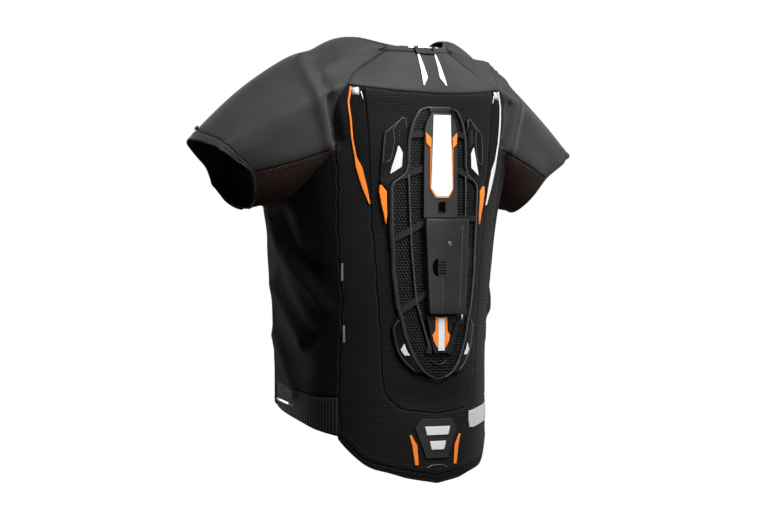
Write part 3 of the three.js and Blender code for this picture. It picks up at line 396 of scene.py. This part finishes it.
pulled = [edge for edge in seam_edges if pulled_in(edge)]
seam_points = KDTree(2 * len(pulled))
for n, edge in enumerate(pulled):
    a, b = edge.verts
    seam_points.insert(a.co, 2 * n)
    seam_points.insert((a.co + b.co) / 2, 2 * n + 1)
seam_points.balance()
from_seam = np.array([seam_points.find(v.co)[2] for v in shell.verts])
seam_depth, seam_half_width, farthest_seam = 0.0008, 0.0025, 0.05
creases = [
    # points along the fold on the wearer's left in millimetres, half width, height of the swell
    ([(176, -8, -20), (185, 26, -50), (189, 57, -86), (181, 61, -120), (172, 60, -152)], 11, 7.0),
    ([(168, 2, -26), (174, 36, -58), (174, 60, -86), (166, 60, -120), (160, 58, -147)], 10, -10.0),
    ([(195, -71, -254), (185, -55, -314), (173, -5, -361), (153, 22, -402)], 13, 7.0),
    ([(196, -30, -262), (184, -14, -318), (166, 14, -352)], 14, -5.5),
    ([(175, -88, -366), (171, -55, -412), (166, -26, -451)], 12, 7.0),
    ([(178, -60, -352), (172, -25, -408), (160, 0, -448)], 13, -5.0),
    ([(163, -99, -444), (166, -70, -489), (167, -44, -528)], 12, 5.5),
    ([(290, -30, -190), (262, 2, -182), (228, 30, -170)], 16, 2.5),
    ([(262, 20, -150), (230, 44, -140), (200, 54, -120)], 22, -2.0),
    ([(63, 88, -538), (0, 97, -548), (-63, 88, -538)], 20, -2.5),
    ([(150, -60, -14), (146, -10, -4), (152, 20, -22)], 20, -5.5),
    ([(104, -30, 6), (98, 4, 9), (90, 22, 4)], 18, 2.5),
]
lift = np.zeros(len(points))
folded = points.copy()
folded[:, 0] = np.abs(folded[:, 0])
for line, half_width, height in creases:
    corners = np.array(line) / 1000
    nearest = np.full(len(points), 1e9)
    for a, b in zip(corners, corners[1:]):
        share = np.clip(((folded - a) @ (b - a)) / ((b - a) @ (b - a)), 0, 1)
        away = np.linalg.norm(folded - a - share[:, None] * (b - a), axis=1)
        nearest = np.minimum(nearest, away)
    lift += height / 1000 * np.exp(-(nearest / (half_width / 1000)) ** 2)
lift -= seam_depth * np.exp(-(from_seam / seam_half_width) ** 2)
for vert, place in zip(shell.verts, points + normals * lift[:, None]):
    vert.co = place
shell.normal_update()
# The distance from the nearest seam, kept for the painted shade along the seams.
near_seam = shell.verts.layers.float.new("near_seam")
for vert, distance in zip(shell.verts, from_seam):
    vert[near_seam] = min(distance, farthest_seam)
shell_tree = BVHTree.FromBMesh(shell)


def finished(name, form, material, slot=None, *nodes):
    """Puts a made form in the scene as a piece of the vest."""
    mesh = bpy.data.meshes.new(name)
    form.to_mesh(mesh)
    form.free()
    mesh.materials.clear()
    mesh.materials.append(material)
    mesh.polygons.foreach_set("material_index", [0] * len(mesh.polygons))
    mesh.polygons.foreach_set("use_smooth", [True] * len(mesh.polygons))
    mesh.update()
    piece = bpy.data.objects.new(name, mesh)
    bpy.context.collection.objects.link(piece)
    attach(piece, "root")
    if nodes:
        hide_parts(*nodes)
    return piece


shown_thickness = 0.0018
slots = {"stretch": "stretch_cloth", "rib": "ribbed_cloth", "hem": "ribbed_cloth",
         "mesh": "mesh_cloth", "underarm": "mesh_cloth", "knit": "mesh_cloth", "vent": "mesh_cloth",
         "zip": "black_plastic"}
for number, (panel, (cloth, _, flat, area)) in enumerate(panels.items()):
    cut = shell.copy()
    others = [f for f in cut.faces if f.material_index != number]
    bmesh.ops.delete(cut, geom=others, context="FACES")
    piece = finished(f"{panel}_cloth", cut, cloths[cloth], slots[cloth], panel)
    wall = piece.modifiers.new("wall", "SOLIDIFY")
    wall.thickness, wall.offset = shown_thickness, -1

# Stitching. Coarse thread in short stitches runs beside the seams; the armhole seam is overlocked
# with slanting stitches, and the hem, cuffs and neck binding have one row each.


def seam_runs(these, those):
    """The seam between two groups of panels, as runs of points in order."""
    ends = {}
    for edge in seam_edges:
        sides = [names[face.material_index] for face in edge.link_faces]
        if len(sides) == 2 and any(a.startswith(these) and b.startswith(those)
                                   for a, b in (sides, sides[::-1])):
            for vert, other in (edge.verts, reversed(edge.verts)):
                ends.setdefault(vert, []).append(other)
    runs = []
    while ends:
        vert = next((v for v, others in ends.items() if len(others) == 1), next(iter(ends)))
        run = [vert]
        while vert in ends:
            onward = ends[vert]
            following = onward.pop()
            if not onward:
                del ends[vert]
            back = ends.get(following, [])
            if vert in back:
                back.remove(vert)
                if not back:
                    ends.pop(following, None)
            run.append(following)
            vert = following
        runs.append(np.array([v.co for v in run]))
    return [run for run in runs if len(run) > 3]


def stitch_row(form, run, pitch, length, thickness, aside, slant=0.0):
    """Adds one row of stitches beside a run of points on the shell."""
    steps = np.concatenate([[0], np.cumsum(np.linalg.norm(np.diff(run, axis=0), axis=1))])
    for number, way in enumerate(np.arange(pitch / 2, steps[-1], pitch)):
        at, ahead = (Vector(np.interp(w, steps, run[:, axis]) for axis in range(3))
                     for w in (way, min(way + 0.004, steps[-1])))
        along = (ahead - at) if (ahead - at).length > 1e-6 else Vector((0, 0, 1))
        along.normalize()
        normal = shell_tree.find_nearest(at)[1]
        seat, normal, _, _ = shell_tree.find_nearest(at + along.cross(normal) * aside)
        along = (along - normal * along.dot(normal)).normalized()
        turned = Matrix.Rotation(slant * (-1) ** number, 3, normal) @ along
        axes = Matrix((turned, normal.cross(turned), normal)).transposed().to_4x4()
        bmesh.ops.create_icosphere(
            form, subdivisions=1, radius=0.5,
            matrix=Matrix.Translation(seat + normal * thickness * 0.3) @ axes
            @ Matrix.Diagonal((length, thickness, thickness, 1)))


thread = Finish("sewing_thread", (0.05, 0.05, 0.052), 0.6)
twist = thread.noise(1800, 1)
thread.feed("Base Color", thread.blend(twist, (0.014, 0.014, 0.015), (0.045, 0.045, 0.048)))
thread_thickness, slanting_length, plain_length = 0.0007, 1.3, 0.72
rows = {
    # row: one side of the seam, the other side, places beside the seam, slant, pitch
    "armhole_overlock": ("sleeve_", ("back_surround", "shoulder_yoke"), (0.003,), 1.05, 0.0045),
    "underarm_stitching": (("sleeve_left", "sleeve_right"), "sleeve_gusset", (0.0025,), 0.6,
                           0.0042),
    "yoke_stitching": ("shoulder_yoke", ("back_center", "back_surround"), (-0.003, 0.003), 0.0,
                       0.0040),
    "back_panel_stitching": ("back_center", "back_surround", (-0.0028, 0.0028), 0.0, 0.0040),
    "side_stitching": ("back_surround", "side_panel", (-0.003, 0.003), 0.0, 0.0040),
    "hem_stitching": ("hem_band", ("back_surround", "side_"), (0.009, -0.009), 0.0, 0.0042),
    "cuff_stitching": ("cuff_", "sleeve_", (-0.002, 0.002), 0.0, 0.0040),
    "neck_stitching": ("neck_binding", ("shoulder_yoke", "sleeve_", "front_panel"),
                       (-0.0025, 0.0025), 0.0, 0.0040),
    "front_stitching": ("front_panel", ("side_panel", "sleeve_", "front_zip"), (-0.003, 0.003),
                        0.0, 0.0048),
}
for row_name, (these, those, places, slant, pitch) in rows.items():
    row = bmesh.new()
    length = pitch * (slanting_length if slant else plain_length)
    for run in seam_runs(these, those):
        for aside in places:
            stitch_row(row, run, pitch, length, thread_thickness, aside, slant)
    finished(row_name, row, thread.material, "stretch_cloth")

# The zip at the front. Two rows of small moulded teeth close the middle of the front, with a
# slider and its pull just below the neck.
zip_top, zip_foot = -0.079, -0.534
tooth_pitch, tooth_aside, tooth_size = 0.0028, 0.0009, (0.0042, 0.0016, 0.0021)
teeth = bmesh.new()
closed_at = []
for z in np.arange(zip_top, zip_foot, -tooth_pitch):
    spot, normal, _, _ = shell_tree.ray_cast(Vector((0, -0.4, z)), Vector((0, 1, 0)))
    if spot:
        closed_at.append((spot, normal))
for number, (spot, normal) in enumerate(closed_at):
    aside = Vector((tooth_aside * (-1) ** number, 0, 0))
    bmesh.ops.create_icosphere(teeth, subdivisions=1, radius=0.5,
                               matrix=Matrix.Translation(spot + aside + normal * 0.0004)
                               @ Matrix.Diagonal((*tooth_size, 1)))
zip_plastic = Finish("zip_plastic", (0.012, 0.012, 0.012), 0.35)
zip_speck = zip_plastic.noise(1500, 2)
zip_plastic.feed("Base Color",
                 zip_plastic.blend(zip_speck, (0.008, 0.008, 0.008), (0.02, 0.02, 0.021)))
zip_plastic.feed("Roughness", zip_plastic.ranged(zip_speck, 0.3, 0.7, 0.28, 0.45))
finished("zip_teeth", teeth, zip_plastic.material, "black_plastic")
slider = bmesh.new()
top_of_zip, outward = closed_at[2]
for drop, size in ((0, (0.009, 0.0035, 0.010)), (-0.014, (0.0055, 0.0016, 0.022))):
    middle = top_of_zip + outward * 0.0026 + Vector((0, 0, drop))
    block = bmesh.ops.create_cube(
        slider, size=1, matrix=Matrix.Translation(middle) @ Matrix.Diagonal((*size, 1)))
    edges = {edge for vert in block["verts"] for edge in vert.link_edges}
    bmesh.ops.bevel(slider, geom=list(edges), offset=0.0007, offset_type="OFFSET", affect="EDGES",
                    segments=3, profile=0.5, material=-1)
finished("zip_slider", slider, zip_plastic.material, "black_plastic")

# The protector's frame. One moulding of satin plastic, a rim with slanting ribs round open windows.
# A thin pale line of painted highlight runs along the rim and along the ridges between the ribs.


def moulded(node, material, slot, rounding=0.0005):
    """A copy of a CAD piece with its edges rounded, in that piece's place."""
    form = bmesh.new()
    form.from_mesh(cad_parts[node].data)
    bmesh.ops.remove_doubles(form, verts=form.verts, dist=2e-5)
    form.normal_update()
    sharp = math.radians(32)
    rims = [e for e in form.edges if len(e.link_faces) == 2 and e.calc_face_angle() > sharp]
    bmesh.ops.bevel(form, geom=rims, offset=rounding, offset_type="OFFSET", affect="EDGES",
                    segments=2, profile=0.5, material=-1, clamp_overlap=True)
    piece = finished(f"{node}_moulding", form, material, slot, node)
    piece.modifiers.new("faces", "WEIGHTED_NORMAL").keep_sharp = True
    return piece


def plastic(name, colour, roughness, grain=0.12, worn=0.75, **even):
    """Moulded plastic: a fine grain, and a cloudy change of shade and gloss."""
    surface = Finish(name, colour, roughness, **even)
    speck = surface.noise(2200, 2)
    cloud = surface.noise(30, 3)
    surface.feed("Base Color", surface.blend(cloud, tuple(c * worn for c in colour), colour))
    surface.feed("Roughness", surface.ranged(cloud * 0.6 + speck * 0.4, 0.3, 0.7,
                                             roughness - 0.06, roughness + 0.08))
    surface.bump(speck, 0.0001, grain)
    return surface.material


def seated(*nodes):
    """A tree of the faces of some CAD pieces, to lay thin trim on."""
    form = bmesh.new()
    for node in nodes:
        form.from_mesh(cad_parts[node].data)
    tree = BVHTree.FromBMesh(form)
    form.free()
    return tree


into_back, behind_vest = Vector((0, -1, 0)), 0.4


def on_back(tree, line):
    """Spots on the back's surface along a line, which is given in millimetres across and up."""
    apart = 0.003
    corners = np.array(line) / 1000
    steps = np.concatenate([[0], np.cumsum(np.linalg.norm(np.diff(corners, axis=0), axis=1))])
    spots = []
    for way in np.linspace(0, steps[-1], max(int(steps[-1] / apart), 2) + 1):
        x, z = (np.interp(way, steps, corners[:, axis]) for axis in (0, 1))
        hit = tree.ray_cast(Vector((x, behind_vest, z)), into_back)[0]
        spots.append(hit or tree.find_nearest(Vector((x, 0.1, z)))[0])
    return spots


def laid_strip(form, spots, width, tree, height):
    """Adds a flat strip along spots, its outer face at a height above the tree."""
    reach = 0.02
    last = len(spots) - 1
    grid = bmesh.ops.create_grid(form, x_segments=last, y_segments=1, size=0.5)
    for vert in grid["verts"]:
        n = round((vert.co.x + 0.5) * last)
        along = (spots[min(n + 1, last)] - spots[max(n - 1, 0)]).normalized()
        normal = tree.find_nearest(spots[n])[1]
        beside = spots[n] + normal.cross(along) * (vert.co.y * width / 1000)
        hit, facing, _, _ = tree.ray_cast(beside + normal * reach, -normal, 2 * reach)
        if hit is None:
            hit, facing, _, _ = tree.find_nearest(beside)
        vert.co = hit + facing * (height / 1000)


def trim(name, lines, width, height, tree, material, slot, *nodes):
    """A piece made of thin raised strips, their width and height given in millimetres."""
    form = bmesh.new()
    for spots in lines:
        laid_strip(form, spots, width, tree, height)
    piece = finished(name, form, material, slot, *nodes)
    sunk = 0.15
    body = piece.modifiers.new("body", "SOLIDIFY")
    body.thickness, body.offset = (height + sunk) / 1000, -1
    return piece


def both(line):
    """A line on the wearer's left and its mirror image."""
    return [line, [(-x, z) for x, z in line]]


frame_plastic = plastic("frame_plastic", (0.015, 0.015, 0.016), 0.42, specular_ior_level=0.26)
moulded("protector_frame", frame_plastic, "shell_plastic", 0.0007)
frame_tree = seated("protector_frame")
half_widths = [
    # height and half width of the rim, in millimetres
    (-95.2, 26), (-97, 30), (-99.9, 35.5), (-108.2, 41.4), (-116.9, 46.4), (-130.1, 50.4),
    (-142.9, 53.4), (-161.2, 54.4), (-183.9, 54.6), (-195.9, 59), (-210, 78.4), (-217.9, 81.4),
    (-251.8, 80.4), (-282.9, 79.4), (-311.9, 77.4), (-344.1, 76.4), (-366.9, 73.4), (-398, 69.1),
    (-419.1, 62.4), (-438.9, 58.4), (-457.2, 51.9), (-474.1, 44.6), (-487.8, 36.2), (-497.7, 27),
    (-504.4, 16.5), (-507, 6),
]
rim = [(half, z) for z, half in half_widths]
# The pale strips are painted highlight, light caught along the rim and the ridges.
pale_plastic_and_highlight = plastic("pale_plastic_and_highlight", (0.09, 0.09, 0.095), 0.34)
whole_rim = rim + [(-x, z) for x, z in reversed(rim)] + rim[:1]
trim("rim_highlight_line", [on_back(frame_tree, whole_rim)], 1.0, 0.35, frame_tree, pale_plastic_and_highlight,
     "shell_plastic")
trim("ridge_highlight_line", [on_back(frame_tree, line) for line in (
    [(54.8, -199), (54.4, -219), (49.4, -314), (41.5, -390), (18, -466)],
    [(-53.1, -199), (-53.1, -262)],
)], 1.3, 0.3, frame_tree, pale_plastic_and_highlight, "shell_plastic")

# The honeycomb plate. A thin black floor carries hexagonal cells five millimetres across with thin
# walls, moulded in one; the frame's windows show it.
cell, cell_depth, cell_wall = 0.005, 0.0016, 0.0007
level_step, ray_start = cell * 0.866, 0.3
plate = bmesh.new()
plate.from_mesh(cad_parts["honeycomb_plate"].data)
bmesh.ops.remove_doubles(plate, verts=plate.verts, dist=2e-5)
plate.normal_update()
plate_tree = BVHTree.FromBMesh(plate)
comb = bmesh.new()
low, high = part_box("honeycomb_plate")
upright = Matrix.Rotation(-math.pi / 2, 4, "X")
for level in range(int((high.z - low.z) / level_step)):
    for column in range(-18, 19):
        x = (column + 0.5 * (level % 2)) * cell
        z = high.z - level * level_step
        if all(plate_tree.ray_cast(Vector((x + dx * cell, ray_start, z + dz * cell)), into_back)[0]
               for dx, dz in ((0.6, 0), (-0.6, 0), (0, 0.65), (0, -0.65))):
            bmesh.ops.create_circle(comb, cap_ends=True, segments=6, radius=cell / math.sqrt(3),
                                    matrix=Matrix.Translation((x, 0.2, z)) @ upright)
bmesh.ops.remove_doubles(comb, verts=comb.verts, dist=cell * 0.05)
cells = list(comb.faces)
bmesh.ops.inset_individual(comb, faces=cells, thickness=cell_wall / 2, use_even_offset=True)
bmesh.ops.delete(comb, geom=cells, context="FACES")
for vert in comb.verts:
    hit = plate_tree.ray_cast(Vector((vert.co.x, ray_start, vert.co.z)), into_back)[0]
    vert.co.y = (hit or plate_tree.find_nearest(vert.co)[0]).y
comb_plastic = plastic("comb_plastic", (0.007, 0.007, 0.008), 0.36, specular_ior_level=0.3)
comb_walls = finished("honeycomb_cells", comb, comb_plastic, "comb_plastic")
depth = comb_walls.modifiers.new("depth", "SOLIDIFY")
depth.thickness, depth.offset = cell_depth, -1
for vert in plate.verts:
    if vert.normal.y > 0:
        vert.co -= vert.normal * cell_depth
floor_plastic = plastic("comb_floor", (0.0012, 0.0012, 0.0012), 0.7)
finished("honeycomb_floor", plate, floor_plastic, "comb_plastic", "honeycomb_plate")

# The spine. A raised bridge of a paler plastic down the middle of the frame. It carries a white
# strip edged with orange, two orange wings, and below the strip a square socket with a lip, its
# hole a black sheet of painted shade.
spine_plastic = plastic("spine_plastic", (0.026, 0.026, 0.027), 0.46)
moulded("protector_spine", spine_plastic, "shell_plastic", 0.0008)
spine_tree = seated("protector_spine")
white_plastic = plastic("white_plastic", (0.7, 0.7, 0.69), 0.45, worn=0.93)
orange_plastic = plastic("orange_plastic", (1.0, 0.24, 0.025), 0.4, worn=0.88)
moulded("spine_strip", white_plastic, "white_plastic")
for side in ("left", "right"):
    moulded(f"strip_wing_{side}", orange_plastic, "orange_plastic")
trim("strip_edge", [on_back(spine_tree, [
    (20.6, -158), (20.9, -219.6), (12.2, -232.4),
    (-12.2, -232.4), (-20.9, -219.6), (-20.6, -158)])],
    1.7, 0.9, spine_tree, orange_plastic, "orange_plastic")
shadow_plastic = plastic("shadow_plastic", (0.001, 0.001, 0.001), 0.8, specular_ior_level=0.02)
# The socket's hole is a black sheet of painted shade.
trim("socket_painted_shade", [on_back(spine_tree, [(0, -239), (0, -255)])], 13, 0.3, spine_tree,
     shadow_plastic, "black_plastic")
trim("socket_lip", [on_back(spine_tree, [
    (6.6, -238.6), (-6.6, -238.6), (-6.6, -255.4), (6.6, -255.4), (6.6, -238.6)])],
    1.4, 0.7, spine_tree, frame_plastic, "shell_plastic")

# The control module. A removable box of satin plastic with a half-moon finger recess and grip lines
# in painted shade, a small round lens and two joint lines in pale painted highlight; a silver latch
# plate and a thin bar hold its foot.
module_plastic = plastic("module_plastic", (0.0165, 0.0165, 0.017), 0.46)
moulded("control_module", module_plastic, "module_plastic", 0.0013)
module_tree = seated("control_module")
recess_middle, recess_reach = (11.5, -338.5), (9.5, 13.5)
# The finger recess is a black half-disc laid on the face, painted shade.
recess = bmesh.new()
bmesh.ops.create_circle(recess, cap_ends=True, cap_tris=True, segments=28, radius=1)
bmesh.ops.bisect_plane(recess, geom=recess.verts[:] + recess.edges[:] + recess.faces[:],
                       plane_co=(0, 0, 0), plane_no=(1, 0, 0), clear_inner=True)
bmesh.ops.subdivide_edges(recess, edges=recess.edges, cuts=3, use_grid_fill=True)
bmesh.ops.reverse_faces(recess, faces=recess.faces)
for vert in recess.verts:
    x, z = (recess_middle[n] + recess_reach[n] * vert.co[n] for n in (0, 1))
    seat = module_tree.ray_cast(Vector((x / 1000, behind_vest, z / 1000)), into_back)[0]
    vert.co = seat + Vector((0, 0.0006, 0))
recess_shade = finished("finger_recess_shade", recess, shadow_plastic, "black_plastic")
recess_shade.modifiers.new("body", "SOLIDIFY").thickness = 0.0008
# The grip lines are black strips, painted shade.
trim("grip_line_shade", [on_back(module_tree, [(10, z), (-2.5, z)])
                    for z in (-330.5, -334.8, -339.1, -343.4, -347.7)],
     1.3, 0.5, module_tree, shadow_plastic, "black_plastic")
# The joint lines are pale strips of painted highlight.
trim("module_joint_highlights", [on_back(module_tree, line) for line in (
    [(3.5, -356), (3.5, -406)], [(-37.5, -276), (-34, -330), (-31, -404)])],
    0.7, 0.2, module_tree, pale_plastic_and_highlight, "module_plastic")
lens = bmesh.new()
lens_ray = Vector((-0.011, behind_vest, -0.303))
lens_seat, lens_normal, _, _ = module_tree.ray_cast(lens_ray, into_back)
bmesh.ops.create_uvsphere(lens, u_segments=20, v_segments=10, radius=1,
                          matrix=Matrix.Translation(lens_seat)
                          @ lens_normal.to_track_quat("Z", "Y").to_matrix().to_4x4()
                          @ Matrix.Diagonal((0.0042, 0.0042, 0.0009, 1)))
finished("status_lens", lens, plastic("lens_plastic", (0.10, 0.10, 0.105), 0.25), "silver_film")
silver_film = plastic("silver_film", (0.62, 0.63, 0.65), 0.3, metallic=0.4)
foot_tree = seated("protector_frame", "control_module")
trim("latch_plate", [on_back(foot_tree, [(-45.5, -411.2), (-45, -419.5)])], 2.6, 1.2, foot_tree,
     silver_film, "silver_film", "module_latch")
trim("latch_bar", [on_back(foot_tree, [(-15, -412.2), (-47, -412.2)])], 1.1, 0.8, foot_tree,
     pale_plastic_and_highlight, "shell_plastic")

# The lower spine. It ends the bridge below the module, with a white label between orange flanks,
# and a moulded arc joins the two ribs under it.
moulded("lower_spine", frame_plastic, "shell_plastic")
moulded("lower_label", white_plastic, "white_plastic")
for side in ("left", "right"):
    moulded(f"label_flank_{side}", orange_plastic, "orange_plastic")
arc_tree = seated("protector_frame", "honeycomb_plate")
trim("lower_arc", [on_back(arc_tree, [
    (15, -480), (9, -485.5), (0, -487.5), (-9, -485.5), (-15, -480)])],
    2.2, 1.5, arc_tree, frame_plastic, "shell_plastic")

# The wing pads. Flat plastic shields beside the frame, the upper pair with a raised facet and hatch
# lines, each with a white insert; orange blades hang from the upper pair.
pad_plastic = plastic("pad_plastic", (0.0055, 0.0055, 0.006), 0.42, specular_ior_level=0.16)
for side in ("left", "right"):
    for node in (f"upper_wing_pad_{side}", f"lower_wing_pad_{side}"):
        moulded(node, pad_plastic, "shell_plastic", 0.0008)
    for node in (f"upper_insert_{side}", f"lower_insert_{side}"):
        moulded(node, white_plastic, "white_plastic")
    moulded(f"orange_blade_{side}", orange_plastic, "orange_plastic")
pad_tree = seated("upper_wing_pad_left", "upper_wing_pad_right",
                  "lower_wing_pad_left", "lower_wing_pad_right")
# Pale strips of painted highlight along the pads' edges and their facet.
trim("wing_pad_edge_highlights", [on_back(pad_tree, line) for line in (
    both([(94.2, -181), (94, -161), (91.8, -135), (69, -116), (64.5, -111.8), (59.5, -113),
          (57, -134)])
    + both([(91, -180), (82, -175), (77, -143), (80, -131), (70, -117)])
    + both([(66.5, -416.5), (71, -422), (75.4, -430.5), (73.2, -443), (69.2, -461.6),
            (64.4, -473), (54.2, -486), (42.4, -496.4)])
)], 0.9, 0.35, pad_tree, pale_plastic_and_highlight, "shell_plastic")
trim("pad_hatch", [on_back(pad_tree, line) for down in (0, 6, 12, 18)
                   for line in both([(71, -126 - down), (62, -137 - down)])],
     1.0, 0.3, pad_tree, frame_plastic, "shell_plastic")

# The trim sewn and bonded on the cloth: the vents' piping with a silver patch and a white dash at
# its top, silver dashes at the side seams, a stitched pleat, a bare waist label and a hem strip.
moulded("vent_piping_left", orange_plastic, "orange_plastic")
moulded("vent_piping_right", white_plastic, "white_plastic")
trim("vent_patch", [on_back(shell_tree, line) for line in both([(134.5, -67), (135, -78.5)])],
     11.5, 0.5, shell_tree, silver_film, "silver_film")
trim("vent_dash", [on_back(shell_tree, line) for line in both([(127, -73), (124, -85)])],
     1.6, 0.5, shell_tree, white_plastic, "white_plastic")
dash_narrowing = 0.45
for side in ("left", "right"):
    for place in ("upper", "lower"):
        dash = moulded(f"seam_dash_{place}_{side}", silver_film, "silver_film", 0.0003)
        corners = dash.data.vertices
        middle = sum((Vector(v.co) for v in corners), Vector()) / len(corners)
        for vert in corners:
            vert.co.x += (middle.x - vert.co.x) * dash_narrowing
# The white label in a greyer tone, painted shade.
label_white_painted_shade = plastic("label_white_painted_shade", (0.55, 0.55, 0.56), 0.5, worn=0.8)
moulded("waist_label", label_white_painted_shade, "white_plastic")
pleat = bmesh.new()
for line in both([(94, -315), (78, -345)]):
    stitch_row(pleat, np.array(on_back(shell_tree, line)), 0.004, 0.0029, 0.0008, 0)
finished("pleat_stitching", pleat, thread.material, "stretch_cloth")
hem_line = [shell_tree.find_nearest(Vector(spot) / 1000)[0] for spot in (
    (157, -110, -540), (163, -90, -543), (166, -76, -545), (167, -60, -548), (167, -46, -551))]
trim("hem_reflector_strip", [hem_line], 4.5, 0.5, shell_tree, silver_film, "silver_film",
     "hem_reflector")

# The badge at the back hem. A plain rubber shield with two white bars, an orange bar down each
# side, and under it a thin raised arch of dark tape bonded to the hem, drawn pale as painted
# highlight.
rubber = plastic("badge_rubber", (0.010, 0.010, 0.010), 0.6, grain=0.3)
moulded("badge_shield", rubber, "badge_rubber")
for place in ("upper", "lower"):
    moulded(f"badge_bar_{place}", white_plastic, "white_plastic")
for side in ("left", "right"):
    moulded(f"badge_flank_{side}", orange_plastic, "orange_plastic")
# The arch's pale tone is painted highlight on dark tape.
trim("hem_loop", [on_back(shell_tree, [(19, -645), (10, -640.5), (-10, -640), (-20, -644)])],
     1.6, 0.8, shell_tree, pale_plastic_and_highlight, "webbing")

# The hanger at the neck: a silver tab sewn on the rim, a loop of woven tape over it, and two pale
# ribbons down the yoke; and the press stud beside the left cuff.
moulded("hanger_tab", silver_film, "silver_film")
tape = Finish("woven_tape", (0.02, 0.02, 0.02), 0.8, specular_ior_level=0.3)
tape_x, _, tape_z = tape.places()
wale = (tape_x * 3900).sine() * (tape_z * 3900).sine() * 0.5 + 0.5
tape.feed("Base Color", tape.blend(wale, (0.008, 0.008, 0.008), (0.035, 0.035, 0.036)))
tape.bump(wale, 0.0003)
moulded("hanger_loop", tape.material, "webbing")
for side in ("left", "right"):
    moulded(f"neck_ribbon_{side}", white_plastic, "white_plastic")
stud_plastic = plastic("stud_plastic", (0.008, 0.008, 0.008), 0.35)
moulded("cuff_stud", stud_plastic, "black_plastic", 0.0003)
